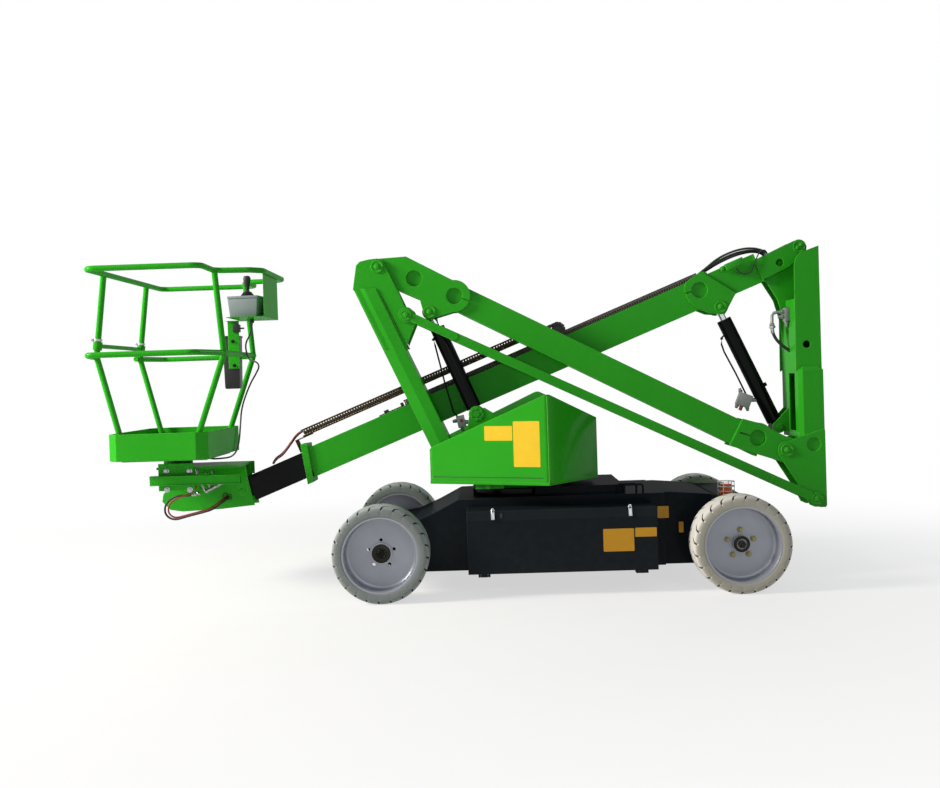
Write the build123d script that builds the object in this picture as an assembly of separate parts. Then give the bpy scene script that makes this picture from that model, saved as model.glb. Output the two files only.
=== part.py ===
"""Electric articulated boom lift with a telescopic upper boom, as separate named pieces.

Lengths are in millimetres. X runs along the machine (cage at the low end), Y across it (the
side with the stop button is negative) and Z up from the floor. The tables below are measured
from mid-wheelbase; every piece is moved by SHIFT_X when it is written, so that the origin of
the finished part is the bottom centre of its bounding box.
"""
import math
import os

from build123d import *

os.makedirs("parts", exist_ok=True)

# Overall sizes and the planes that the two booms lie in
LOWER_Y = -95.0
UPPER_Y = 100.0
PIN_R = 25.0
RUNNING_GAP = 0.05
PART_GAP = 5.0

# Wheels
HALF_BASE = 1025.0
TYRE_R = 277.5
TYRE_W = 205.0
WHEEL_FACE_Y = 750.0
RIM_R = 216.0
RIM_WALL = 10.0
DISC_RECESS = 95.0
DISC_T = 12.0
BOLT_COUNT = 5
BOLT_PCD = 155.0
BOLT_HOLE_R = 9.5
SPINDLE_R = 22.0
DRIVE_BORE_R = 55.0
STEER_HUB_R = 47.0

# Steering
KINGPIN_Y = 515.0
KINGPIN_R = 18.0
STEER_ARM = 125.0
TIE_ROD_Z = 262.0
TIE_ROD_R = 10.0
TIE_ROD_EYE_R = 17.0
BALL_PIN_R = 8.0

# Chassis
FRAME_HALF_Y = 400.0
NECK_HALF_Y = FRAME_HALF_Y - 35.0
NECK_X = (HALF_BASE - 385.0, HALF_BASE - 100.0)
DRIVE_END_X = -HALF_BASE - 85.0
STEER_END_X = HALF_BASE + 95.0
BEACON_Z = 516.0
FRAME_LOW = 120.0
FRAME_SIDE = [
    (DRIVE_END_X, 200), (DRIVE_END_X, 372), (-860, 412), (-730, 469), (-585, 543), (-250, 550),
    (HALF_BASE - 335, 550), (HALF_BASE - 95, 530), (HALF_BASE - 52, BEACON_Z), (STEER_END_X, BEACON_Z),
    (STEER_END_X, 345), (HALF_BASE - 95, 345), (HALF_BASE - 125, FRAME_LOW), (-860, FRAME_LOW),
]
FRAME_WALL = 10.0
BOX_X = (495.0 - HALF_BASE, HALF_BASE - 465.0)
BOX_Y = (FRAME_HALF_Y, 640.0)
BOX_Z = (137.0, 497.0)
BOX_WALL = 6.0
PACK_COUNT = 3
PACK_GAP = 30.0
DOOR_T = 18.0
DOOR_BAND = 52.0
DECK_X = (-120.0, 410.0)
DECK_Z = (550.0, 600.0)
DECK_HALF_Y = 330.0
HANDLE_H = 52.0
LUG_HOLE_R = 16.0
LUG_T = 12.0
LUG_Y = FRAME_HALF_Y - 64.0
LUG_HALF_W = 27.0
LASHING_EYES = [
    ((DRIVE_END_X - 50, DRIVE_END_X + 1), DRIVE_END_X - 26, 320),
    ((STEER_END_X - 1, STEER_END_X + 48), STEER_END_X + 24, 425),
]
MOTOR_R = 85.0
MOTOR_LENGTH = 160.0
DOOR_PIN = (BOX_Y[1] - 9.0, BOX_Z[0] - 10.0)
DOOR_PIN_R = 5.0
DOOR_KNUCKLE_R = 9.0
DOOR_KNUCKLE_X = (BOX_X[0] + 72.0, BOX_X[1] - 112.0)

# Turret
SLEW_X = -200.0
RING_R = 300.0
RING_BORE_R = 230.0
RING_Z = (550.0, 588.0)
TABLE_Z = (638.0, 655.0)
SEAT_T = 12.0
COWL_T = 5.0
COWL_INNER_Y = 222.0
COWL_NOSE = (-749.0, 333.0, 853.0)
COWL_CORNER = (-48.0, 667.0, 1164.0)
COWL_REAR = (268.0, 235.0, 1003.0)

# Parallelogram pins: post top, tie bar foot, upright foot, tie bar head
PIN_A = (-1042.0, 1969.0)
PIN_B = (-872.0, 1666.0)
LINK = (2472.0, -1204.0)
PIN_C = (PIN_A[0] + LINK[0], PIN_A[1] + LINK[1])
PIN_D = (PIN_B[0] + LINK[0], PIN_B[1] + LINK[1])
CHEEK_Y = (88.0, 100.0)
TIE_BAR_Y = (105.0, 116.0)
TIE_BAR_DEPTH = 54.0
HEAD_T = 6.0
CAP_T = 3.0

# Lower boom, along its own axis from a point near the post
LOWER_O = (-900.0, 1945.0)
LOWER_DEG = -27.65
LOWER_TUBE = (40.0, 2470.0)
LOWER_HALF_DEPTH = 80.0
LOWER_HALF_Y = 60.0
LOWER_PLATE_Y = 82.0
TUBE_WALL = 6.0
KNUCKLE_HOLE_R = 50.0

# Post
POST_BASE = ((-666.0, 85.0), (-596.0, 110.0), (-526.0, 110.0))
POST_LEAN = -0.4525
POST_Z = (TABLE_Z[1] + SEAT_T, 1834.0)

# Lift cylinders: lug pin, rod eye, barrel and rod radii, gland distance, boom plane
CYL_COLUMNS = ("lug", "eye", "barrel_r", "rod_r", "gland", "y")
CYL_TABLE = {
    "lower": ((-460.0, 1043.0), (-730.0, 1681.0), 46.0, 25.0, 590.0, LOWER_Y),
    "upper": ((1448.0, 896.0), (1094.0, 1665.0), 46.0, 22.0, 760.0, UPPER_Y),
}
EYE_R = {"lower": 34.0, "upper": 20.0}
LUG_PIN_R = 20.0
LUG_PLATE_Y = (48.0, 60.0)

# Upright: rear face, depth and height of the wide column
REAR_X = 1664.0
COLUMN_X = REAR_X - 149.0
COLUMN_Y = (LOWER_Y - 92, UPPER_Y + 110)
COLUMN_Z = (836.0, 1284.0)
COLUMN_TOP_CUT = 34.0
WINDOW_Y = (LOWER_Y - 2, LOWER_Y + 130)
WINDOW_Z = (876.0, 1232.0)
GUARD_Y = ((COLUMN_Y[0] + 26, COLUMN_Y[0] + 34), (COLUMN_Y[1] - 8, COLUMN_Y[1]))
CHEEK_HOLE = (1594.0, 795.0)
CHEEK_HOLE_R = 43.0
COLUMN_WALL = 8.0

# Upper boom: pivot, slope, and ranges along the boom (s) and square to it (n)
PIN_E = (1594.0, 2025.0)
UPPER_DEG = 201.7
OUTER_S = (290.0, 3380.0)
OUTER_N = (-114.0, 74.0)
OUTER_HALF_Y = 70.0
OUTER_WALL = 8.0
UPPER_PLATE_Y = 88.0
FLY_S = (700.0, 3790.0)
FLY_N = (-101.0, 61.0)
FLY_HALF_Y = 56.0
FLY_WALL = 6.0
FIXED_TRAY_S = (650.0, 2673.0)
MOVING_TRAY_S = (1700.0, 3350.0)
MOVING_TRAY_N = (150.0, 197.0)
LINK_T = 24.0
PAD_S = (3290.0, 3375.0)
PAD_GAP = 0.1
TRAY_HALF_Y = 60.0
LOOP_S = 1590.0

# Cage
TIP = (-1975.0, 588.0)
TIP_PIN_R = 20.0
TIP_EAR_R = 42.0
CAGE_X = -2369.0
PAN_X = (-2668.0, -2070.0)
PAN_HALF_Y = 450.0
PAN_CHAMFER = 60.0
PAN_Z = (834.0, 997.0)
RAIL_R = 17.0
POST_R = 18.0
MID_Z = 1465.0
TOP_Z = 1957.0
POST_HALF_Y = 400.0
RAIL_HALF_Y = 725.0
NOSE_HALF_Y = 370.0
NOSE_X = -1725.0
MID_RAIL_X = -2738.0
MID_RIGHT_X = -1960.0
DRUM_Z = (PAN_Z[0] - 63.0, PAN_Z[0] - 34.0)
SPIGOT_R = 30.0

# The finished part is centred over its origin between the mid rail and the upright
SHIFT_X = -(MID_RAIL_X - RAIL_R + REAR_X) / 2


def block(x, y, z):
    """Box between the low and high values of each axis."""
    size = [high - low for low, high in (x, y, z)]
    middle = [(high + low) / 2 for low, high in (x, y, z)]
    return Pos(*middle) * Box(*size)


def side_plate(points, y):
    """Plate with an outline in X and Z, between two Y values."""
    wire = Wire.make_polygon([Vector(px, y[0], pz) for px, pz in points], close=True)
    return extrude(Face(wire), amount=y[1] - y[0], dir=(0, 1, 0))


def floor_plate(points, z):
    """Plate with an outline in X and Y, between two Z values."""
    wire = Wire.make_polygon([Vector(px, py, z[0]) for px, py in points], close=True)
    return extrude(Face(wire), amount=z[1] - z[0], dir=(0, 0, 1))


def across(xz, radius, y):
    """Round bar along Y at a point of the side view."""
    plane = Plane(origin=(xz[0], y[0], xz[1]), z_dir=(0, 1, 0))
    return Solid.make_cylinder(radius, y[1] - y[0], plane)


def upright_bar(xy, radius, z):
    """Round bar along Z."""
    return Solid.make_cylinder(radius, z[1] - z[0], Plane(origin=(xy[0], xy[1], z[0])))


def along(x, yz, radius):
    """Round bar along X at a point of the end view."""
    plane = Plane(origin=(x[0], yz[0], yz[1]), z_dir=(1, 0, 0))
    return Solid.make_cylinder(radius, x[1] - x[0], plane)


def bar(start, end, radius):
    """Round bar between two points."""
    start, end = Vector(*start), Vector(*end)
    return Solid.make_cylinder(radius, (end - start).length, Plane(origin=start, z_dir=end - start))


def pipe(points, radius, bend, closed=False):
    """Bent round bar along a polyline with rounded corners."""
    path = FilletPolyline(*points, radius=bend, close=closed)
    section = Plane(origin=path @ 0, z_dir=path % 0) * Circle(radius)
    return sweep(section, path=path)


def both_sides(y_plane, y):
    """The two Y ranges at equal distances from a boom's middle plane."""
    return [(y_plane - y[1], y_plane - y[0]), (y_plane + y[0], y_plane + y[1])]


def on_lower(t, m):
    """Side-view point from the distance along and above the lower boom's axis."""
    angle = math.radians(LOWER_DEG)
    x = LOWER_O[0] + t * math.cos(angle) - m * math.sin(angle)
    z = LOWER_O[1] + t * math.sin(angle) + m * math.cos(angle)
    return (x, z)


def on_upper(s, n):
    """Side-view point from the distance along and above the upper boom's axis."""
    angle = math.radians(UPPER_DEG)
    x = PIN_E[0] + s * math.cos(angle) + n * math.sin(angle)
    z = PIN_E[1] + s * math.sin(angle) - n * math.cos(angle)
    return (x, z)


def upper_strip(s, n, y):
    """Straight piece of the upper boom between two distances and two heights."""
    points = [on_upper(s[0], n[0]), on_upper(s[1], n[0]), on_upper(s[1], n[1]), on_upper(s[0], n[1])]
    return side_plate(points, y)


def write(name, *pieces):
    """Write one named piece, moved to the origin of the finished part."""
    shape = Pos(SHIFT_X, 0, 0) * Compound(children=[piece for piece in flatten(pieces)])
    export_step(shape, f"parts/{name}.step")


def flatten(pieces):
    """Solids of all the shapes given."""
    found = []
    for piece in pieces:
        found.extend(piece.solids())
    return found


# Tyres and rims, the same section turned about each wheel's axis
def wheel_plane(x, side):
    return Plane(origin=(x, side * WHEEL_FACE_Y, TYRE_R), x_dir=(1, 0, 0), z_dir=(0, side, 0))


def sided(side, low, high):
    """Y range between two distances from the middle, on one side of the machine."""
    return tuple(sorted((side * low, side * high)))


def turned(profile):
    """Ring turned about the local Z axis from radius and depth pairs."""
    wire = Wire.make_polygon([Vector(r, 0, depth) for r, depth in profile], close=True)
    return revolve(Face(wire), axis=Axis.Z)


def make_tyre():
    shoulder = 16.0
    profile = [
        (RIM_R, -4), (TYRE_R - shoulder - 12, 0), (TYRE_R - shoulder, -4), (TYRE_R, -shoulder - 4),
        (TYRE_R, shoulder + 4 - TYRE_W), (TYRE_R - shoulder, 4 - TYRE_W),
        (TYRE_R - shoulder - 12, -TYRE_W), (RIM_R, 4 - TYRE_W),
    ]
    return turned(profile)


def make_rim(steered):
    inner = RIM_R - RIM_WALL
    disc = (-DISC_RECESS, -DISC_RECESS - DISC_T)
    wall = turned([(inner, -6), (RIM_R, -6), (RIM_R, 6 - TYRE_W), (inner, 6 - TYRE_W)])
    web = turned([(SPINDLE_R + RUNNING_GAP, disc[0]), (inner, disc[0]), (inner, disc[1]),
                  (SPINDLE_R + RUNNING_GAP, disc[1])])
    rim = wall + web
    hub_r = STEER_HUB_R if steered else DRIVE_BORE_R + 8
    hub_in = SPINDLE_R + RUNNING_GAP if steered else DRIVE_BORE_R
    hub_out = disc[0] + (38 if steered else 10)
    rim += turned([(hub_in, disc[0]), (hub_r, disc[0]), (hub_r, hub_out), (hub_in, hub_out)])
    for step in range(BOLT_COUNT):
        turn = Rot(0, 0, 90 + step * 360 / BOLT_COUNT)
        spot = Pos(BOLT_PCD / 2, 0, 0)
        rim -= turn * spot * Pos(0, 0, disc[0] - DISC_T / 2) * Cylinder(BOLT_HOLE_R, 3 * DISC_T)
    return rim


WHEEL_COLUMNS = ("name", "x", "side", "steered")
WHEEL_TABLE = [
    ("drive_near", -HALF_BASE, -1, False),
    ("drive_far", -HALF_BASE, 1, False),
    ("steer_near", HALF_BASE, -1, True),
    ("steer_far", HALF_BASE, 1, True),
]
for row in WHEEL_TABLE:
    wheel = dict(zip(WHEEL_COLUMNS, row))
    place = wheel_plane(wheel["x"], wheel["side"]).location
    write(f"tyre_{wheel['name']}", place * make_tyre())
    write(f"rim_{wheel['name']}", place * make_rim(wheel["steered"]))

# Chassis frame: a welded trough with a narrow neck behind the steered wheels
frame = side_plate(FRAME_SIDE, (-FRAME_HALF_Y, FRAME_HALF_Y))
for y in ((-FRAME_HALF_Y, -NECK_HALF_Y), (NECK_HALF_Y, FRAME_HALF_Y)):
    frame -= block(NECK_X, y, (0, 1000))
inner_y = (FRAME_WALL - NECK_HALF_Y, NECK_HALF_Y - FRAME_WALL)
bay_x = (HALF_BASE - 405, HALF_BASE - 375)
hollow = [(DRIVE_END_X + 20, 190), (DRIVE_END_X + 20, 362), (-860, 400), (-730, 456), (-585, 530),
          (-250, 538), (bay_x[0], 538), (bay_x[0], FRAME_LOW - 20), (-860, FRAME_LOW - 20)]
frame -= side_plate(hollow, inner_y)
front_bay = [(bay_x[1], FRAME_LOW - 20), (bay_x[1], 538), (HALF_BASE - 125, 520)]
front_bay.append((HALF_BASE - 125, FRAME_LOW - 20))
frame -= side_plate(front_bay, inner_y)
for side in (-1, 1):
    for x, hole_x, z in LASHING_EYES:
        lug_z = (z, z + LUG_T)
        lug = block(x, sided(side, LUG_Y - LUG_HALF_W, LUG_Y + LUG_HALF_W), lug_z)
        frame += lug - upright_bar((hole_x, side * LUG_Y), LUG_HOLE_R, (lug_z[0] - 1, lug_z[1] + 1))

# Centre deck round the slew ring
deck = block(DECK_X, (-DECK_HALF_Y, DECK_HALF_Y), DECK_Z)
deck -= upright_bar((SLEW_X, 0), RING_R + 14, (DECK_Z[0] - 1, DECK_Z[1] + 1))
write("chassis_frame", frame, deck)

# Side boxes for the batteries, open outwards, with a door hinged along the lower edge
boxes = []
hinges = []
cells = []
door_in = BOX_Y[1] - DOOR_T
inner_x = (BOX_X[0] + BOX_WALL, BOX_X[1] - BOX_WALL)
inner_z = (BOX_Z[0] + BOX_WALL, BOX_Z[1] - BOX_WALL)
pack_pitch = (inner_x[1] - inner_x[0] - PACK_GAP) / PACK_COUNT
arm_in = BOX_Y[1] - 70
for side, label in ((-1, "near"), (1, "far")):
    box = block(BOX_X, sided(side, BOX_Y[0], door_in - PART_GAP), BOX_Z)
    boxes.append(box - block(inner_x, sided(side, BOX_Y[0] + BOX_WALL, BOX_Y[1]), inner_z))

    for step in range(PACK_COUNT):
        x0 = inner_x[0] + PACK_GAP + step * pack_pitch
        y = sided(side, BOX_Y[0] + BOX_WALL, door_in - PACK_GAP)
        cells.append(block((x0, x0 + pack_pitch - PACK_GAP), y, (inner_z[0], inner_z[0] + 280)))

    outline = [(door_in, BOX_Z[0]), (BOX_Y[1], BOX_Z[0]), (BOX_Y[1], BOX_Z[1] - DOOR_BAND),
               (door_in + 4, BOX_Z[1]), (door_in, BOX_Z[1])]
    wire = Wire.make_polygon([Vector(BOX_X[0], side * py, pz) for py, pz in outline], close=True)
    door = extrude(Face(wire), amount=BOX_X[1] - BOX_X[0], dir=(1, 0, 0))
    for x in DOOR_KNUCKLE_X:
        pin = (side * DOOR_PIN[0], DOOR_PIN[1])
        door += along((x, x + 40), pin, DOOR_KNUCKLE_R)
        door += block((x, x + 40), sided(side, door_in, BOX_Y[1]), (DOOR_PIN[1], BOX_Z[0]))
        door -= along((x - 1, x + 41), pin, DOOR_PIN_R + RUNNING_GAP)
        hinges.append(along((x - 14, x + 54), pin, DOOR_PIN_R))
        for x0 in (x - 14, x + 42):
            arm = along((x0, x0 + 12), pin, DOOR_KNUCKLE_R)
            arm_z = (DOOR_PIN[1] - DOOR_KNUCKLE_R, DOOR_PIN[1] + DOOR_KNUCKLE_R)
            arm += block((x0, x0 + 12), sided(side, arm_in, DOOR_PIN[0]), arm_z)
            arm += block((x0, x0 + 12), sided(side, arm_in, door_in - PART_GAP), (DOOR_PIN[1], BOX_Z[0]))
            hinges.append(arm - along((x0 - 1, x0 + 13), pin, DOOR_PIN_R))
    write(f"battery_door_{label}", door)

write("battery_boxes", *boxes)
write("door_hinges", *hinges)
write("battery_packs", *cells)

# Drive motors on the frame's sides and the steer axle beam
motors = []
for side in (-1, 1):
    motor_out = FRAME_HALF_Y + MOTOR_LENGTH
    motor = across((-HALF_BASE, TYRE_R), MOTOR_R, sided(side, FRAME_HALF_Y, motor_out))
    spindle_out = WHEEL_FACE_Y - DISC_RECESS + 12
    motors.append(motor + across((-HALF_BASE, TYRE_R), SPINDLE_R, sided(side, motor_out, spindle_out)))
write("drive_motors", *motors)

beam_end = KINGPIN_Y - 60
fork_x = (HALF_BASE - 30, HALF_BASE + 30)
axle = block((HALF_BASE - 40, HALF_BASE + 40), (-beam_end, beam_end), (240, 345))
for side in (-1, 1):
    for z in ((322, 340), (214, 232)):
        axle += block(fork_x, sided(side, beam_end, KINGPIN_Y + 28), z)
    axle += block(fork_x, sided(side, beam_end - 25, beam_end + 1), (214, 340))
kingpins = [upright_bar((HALF_BASE, side * KINGPIN_Y), KINGPIN_R, (232, 322)) for side in (-1, 1)]
write("steer_axle", axle, *kingpins)

for side, label in ((-1, "near"), (1, "far")):
    knuckle = block(fork_x, sided(side, KINGPIN_Y - 30, KINGPIN_Y + 30), (238, 316))
    spindle_y = sided(side, KINGPIN_Y + 30, WHEEL_FACE_Y - DISC_RECESS + 26)
    knuckle += across((HALF_BASE, TYRE_R), SPINDLE_R, spindle_y)
    arm_z = (TIE_ROD_Z - 24, TIE_ROD_Z - 12)
    arm_end = (HALF_BASE + STEER_ARM, side * KINGPIN_Y)
    knuckle += block((HALF_BASE, arm_end[0]), (arm_end[1] - 15, arm_end[1] + 15), arm_z)
    knuckle += upright_bar(arm_end, TIE_ROD_EYE_R, arm_z)
    knuckle += upright_bar(arm_end, BALL_PIN_R, (arm_z[1], TIE_ROD_Z + 14))
    knuckle -= upright_bar((HALF_BASE, side * KINGPIN_Y), KINGPIN_R + RUNNING_GAP, (200, 350))
    write(f"steer_knuckle_{label}", knuckle)

rod_x = HALF_BASE + STEER_ARM
rod = bar((rod_x, -KINGPIN_Y + 10, TIE_ROD_Z), (rod_x, KINGPIN_Y - 10, TIE_ROD_Z), TIE_ROD_R)
for side in (-1, 1):
    eye = upright_bar((rod_x, side * KINGPIN_Y), TIE_ROD_EYE_R, (TIE_ROD_Z - 11, TIE_ROD_Z + 11))
    bore = upright_bar((rod_x, side * KINGPIN_Y), BALL_PIN_R + RUNNING_GAP, (TIE_ROD_Z - 20, TIE_ROD_Z + 20))
    rod = rod + eye - bore
write("tie_rod", rod)

# Small fittings on the chassis
handles = []
low, high = FRAME_SIDE[5][1], FRAME_SIDE[5][1] + HANDLE_H
for x, y in ((374, DECK_HALF_Y + 15), (408, FRAME_HALF_Y - 15)):
    bow = [(x, -y, low), (x, -y, high), (x + 110, -y, high), (x + 110, -y, low)]
    handles.append(pipe(bow, 6, 12))
write("grab_handles", *handles)

BEACON = (HALF_BASE + 4.0, 100.0 - FRAME_HALF_Y)
GUARD_R = 52.0
GUARD_WIRES = 6
base = upright_bar(BEACON, 38, (BEACON_Z, BEACON_Z + 12))
write("beacon", base + upright_bar(BEACON, 32, (BEACON_Z + 12, BEACON_Z + 66)))


def guard_ring(low, high, inner_r):
    """Flat ring of the beacon guard between two heights over its seat."""
    outer = upright_bar(BEACON, GUARD_R, (BEACON_Z + low, BEACON_Z + high))
    return outer - upright_bar(BEACON, inner_r, (BEACON_Z + low - 1, BEACON_Z + high + 1))


guard = guard_ring(21, 26, GUARD_R - 5) + guard_ring(49, 54, GUARD_R - 5) + guard_ring(78, 82, 40)
for step in range(GUARD_WIRES):
    angle = math.radians(step * 360 / GUARD_WIRES)
    x = BEACON[0] + (GUARD_R - 2.5) * math.cos(angle)
    y = BEACON[1] + (GUARD_R - 2.5) * math.sin(angle)
    guard += upright_bar((x, y), 2.2, (BEACON_Z, BEACON_Z + 80))
write("beacon_guard", guard)

buttons = []
button_xz = (HALF_BASE - 75, 470)
for side in (-1, 1):
    stem = across(button_xz, 14, sided(side, FRAME_HALF_Y, FRAME_HALF_Y + 8))
    buttons.append(stem + across(button_xz, 22, sided(side, FRAME_HALF_Y + 8, FRAME_HALF_Y + 26)))
write("stop_buttons", *buttons)

ring = upright_bar((SLEW_X, 0), RING_R, RING_Z)
write("slew_ring", ring - upright_bar((SLEW_X, 0), RING_BORE_R, (RING_Z[0] - 1, RING_Z[1] + 1)))

# Turntable: turning ring, cone and plate that carry the post, the lugs and the cowls
cone_z = (RING_Z[1] + PART_GAP, TABLE_Z[0])
cone = Cone(RING_R - 8, RING_R + 60, cone_z[1] - cone_z[0])
cone = Pos(SLEW_X, 0, (cone_z[0] + cone_z[1]) / 2) * cone
nose, corner, rear = COWL_NOSE, COWL_CORNER, COWL_REAR
plan = [(nose[0], -nose[1]), (corner[0], -corner[1]), (rear[0], -rear[1]),
        (rear[0], rear[1]), (corner[0], corner[1]), (nose[0], nose[1])]
table = floor_plate(plan, TABLE_Z)
cone += upright_bar((SLEW_X, 0), RING_BORE_R - RUNNING_GAP, (RING_Z[0] + 6, cone_z[0]))
seat_z = TABLE_Z[1] + SEAT_T
table += cone + block((-676, -360), (LOWER_Y - 127, LOWER_Y + 127), (TABLE_Z[1], seat_z))

lugs = []
lug_x, lug_z = CYL_TABLE["lower"][0]
outline = [(-516, seat_z), (-516, 980), (-505, 1050), (-412, 1078), (-330, 1025), (-345, 940), (-345, seat_z)]
for y in both_sides(LOWER_Y, LUG_PLATE_Y):
    lug = side_plate(outline, y) + across((lug_x, lug_z), 50, y)
    lugs.append(lug - across((lug_x, lug_z), LUG_PIN_R, (y[0] - 1, y[1] + 1)))
write("turntable", table, *lugs)

motor = block((-476, -310), (-440, -372), (607, TABLE_Z[0]))
write("slew_motor", motor + across((-400, 622), 14, (-470, -440)))

# Post: folded column with two cheek plates that hold the upper parallelogram pins
def post_column(inset):
    """Leaning column; the inset moves every wall inwards, to cut out its hollow."""
    front, bend, back = POST_BASE
    base = [(front[0] + inset, front[1] - inset), (bend[0], bend[1] - inset)]
    base.append((back[0] - inset, back[1] - inset))
    outline = [(x, LOWER_Y - half) for x, half in base]
    outline += [(x, LOWER_Y + half) for x, half in reversed(base)]
    height = POST_Z[1] - POST_Z[0]
    wire = Wire.make_polygon([Vector(x, y, POST_Z[0]) for x, y in outline], close=True)
    lean = Vector(POST_LEAN, 0, 1)
    return extrude(Face(wire), amount=height * lean.length, dir=lean.normalized())


column = post_column(0) - post_column(8)
cheek_outline = [(-1196, 1834), (-1172, 1980), (-1148, 2003), (-1097, 2014), (-1040, 2019), (-984, 1957),
                 (-873, 1704), (-818, 1610), (-875, 1480), (-1016, 1780), (-1060, 1826)]
post = column
for y in both_sides(LOWER_Y, CHEEK_Y):
    cheek = side_plate(cheek_outline, y) + across(PIN_A, 49, y) + across(PIN_B, 46, y)
    cheek += side_plate([(-1186, 1833), (-1045, 1833), (-869, 1460), (-1012, 1460)], y)
    post += cheek
lid = [(-1195, 1834), (-1041, 1834), (-1041, 1826), (-1191, 1826)]
post += side_plate(lid, (LOWER_Y - 99, LOWER_Y + 99))
for pin in (PIN_A, PIN_B):
    post -= across(pin, PIN_R, (LOWER_Y - 130, LOWER_Y + 130))
write("post", post)

# Pins that stay in the post, with round heads outside
def boom_pin(xz):
    """Pin right through both cheeks, with a head on each."""
    pin = across(xz, PIN_R, (LOWER_Y - CHEEK_Y[1], LOWER_Y + CHEEK_Y[1]))
    for y in both_sides(LOWER_Y, (CHEEK_Y[1], CHEEK_Y[1] + HEAD_T)):
        pin += across(xz, 40, y)
    return pin


def stub_pins(xz):
    """Short pin from each cheek through its tie bar, with a flat cap."""
    cap = TIE_BAR_Y[1] + 1
    stubs = both_sides(LOWER_Y, (CHEEK_Y[0], cap))
    caps = both_sides(LOWER_Y, (cap, cap + CAP_T))
    return [across(xz, PIN_R, stub) + across(xz, 34, end) for stub, end in zip(stubs, caps)]


def lug_pin(xz, y_plane):
    """Pin of a cylinder's lugs, 8 mm proud of them on both sides."""
    return across(xz, LUG_PIN_R, (y_plane - LUG_PLATE_Y[1] - 8, y_plane + LUG_PLATE_Y[1] + 8))


write("post_pins", boom_pin(PIN_A), *stub_pins(PIN_B), lug_pin((lug_x, lug_z), LOWER_Y))

# Cowls: folded sheet with a sloping top on each side of the turret
def cowl_solid(side, inset):
    drop = 0 if inset == 0 else COWL_T
    points = [(nose[0] + inset, COWL_INNER_Y + inset), (rear[0] - inset, COWL_INNER_Y + inset),
              (rear[0] - inset, rear[1] - inset * 0.2), (corner[0], corner[1] - 1.4 * inset),
              (nose[0] + inset, nose[1] - inset)]
    low = TABLE_Z[1] if inset == 0 else TABLE_Z[1] - 1
    body = floor_plate([(x, side * y) for x, y in points], (low, 1300))
    a, b, c = [Vector(p[0], side * p[1], p[2] - drop) for p in (nose, corner, rear)]
    normal = (b - a).cross(c - a)
    if normal.Z < 0:
        normal = -normal
    return split(body, bisect_by=Plane(origin=a, z_dir=normal), keep=Keep.BOTTOM)


for side, label in ((-1, "near"), (1, "far")):
    write(f"cowl_{label}", cowl_solid(side, 0) - cowl_solid(side, COWL_T))

# Power pack and its cover between the cowls
write("power_pack", block((-300, 240), (-180, 180), (TABLE_Z[1], 850)))
cover_x = (-335, rear[0])
cover_half_y = COWL_INNER_Y - 4
cover_z = (TABLE_Z[1], 930)
cover = block(cover_x, (-cover_half_y, cover_half_y), cover_z)
room_half_y = cover_half_y - COWL_T
room_x = (cover_x[0] + COWL_T, cover_x[1] - COWL_T)
cover -= block(room_x, (-room_half_y, room_half_y), (cover_z[0] - 1, cover_z[1] - COWL_T))
write("centre_cover", cover)

# Lower boom: welded tube with thick knuckle plates at both ends
def lower_box(t, half_depth, half_y):
    """Straight length of the lower boom between two distances along it."""
    points = [on_lower(t[0], -half_depth), on_lower(t[1], -half_depth)]
    points += [on_lower(t[1], half_depth), on_lower(t[0], half_depth)]
    return side_plate(points, (LOWER_Y - half_y, LOWER_Y + half_y))


def sight_slot(hole, run, drop, y):
    """Narrow slot that leads sideways out of a knuckle hole."""
    x, z = hole
    return side_plate([(x, z - 5), (x + run, z + drop - 5), (x + run, z + drop + 5), (x, z + 5)], y)


lower = lower_box(LOWER_TUBE, LOWER_HALF_DEPTH, LOWER_HALF_Y)
bore_t = (LOWER_TUBE[0] - 1, LOWER_TUBE[1] + 1)
lower -= lower_box(bore_t, LOWER_HALF_DEPTH - TUBE_WALL, LOWER_HALF_Y - TUBE_WALL)
KNUCKLE_1 = (-818.0, 1891.0)
KNUCKLE_2 = (-574.0, 1775.0)
KNUCKLE_3 = (1259.0, 843.0)
eye_1 = CYL_TABLE["lower"][1]
left_outline = [(-1040, 2019), (-865, 2027), (-540, 1850), (-545, 1688), (-690, 1648), (-765, 1668),
                (-788, 1761), (-920, 1823), (-1066, 1924)]
right_outline = [on_lower(2290, -92), on_lower(2290, 92), (1250, 940), (1440, 843), (1380, 700)]
for y in both_sides(LOWER_Y, (LOWER_HALF_Y, LOWER_PLATE_Y)):
    wide = (y[0] - 1, y[1] + 1)
    plate = side_plate(left_outline, y) + across(PIN_A, 50, y)
    plate += across(eye_1, 46, y) + across(KNUCKLE_2, 98, y)
    for hole in (KNUCKLE_1, KNUCKLE_2):
        plate -= across(hole, KNUCKLE_HOLE_R, wide)
    lower += plate - sight_slot(KNUCKLE_2, 112, -42, wide)
    plate = side_plate(right_outline, y) + across(PIN_C, 80, y) + across(KNUCKLE_3, 94, y)
    plate -= across(KNUCKLE_3, KNUCKLE_HOLE_R, wide)
    lower += plate - sight_slot(KNUCKLE_3, -109, 36, wide)
inner = (LOWER_Y - LOWER_HALF_Y, LOWER_Y + LOWER_HALF_Y)
for pin in (PIN_A, PIN_C):
    lower += across(pin, 40, inner)
for pin in (PIN_A, PIN_C):
    lower -= across(pin, PIN_R + RUNNING_GAP, (LOWER_Y - 130, LOWER_Y + 130))
heads = [across(eye_1, 26, y) for y in both_sides(LOWER_Y, (LOWER_PLATE_Y, LOWER_PLATE_Y + 4))]
write("lower_boom", lower, *heads)

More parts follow.
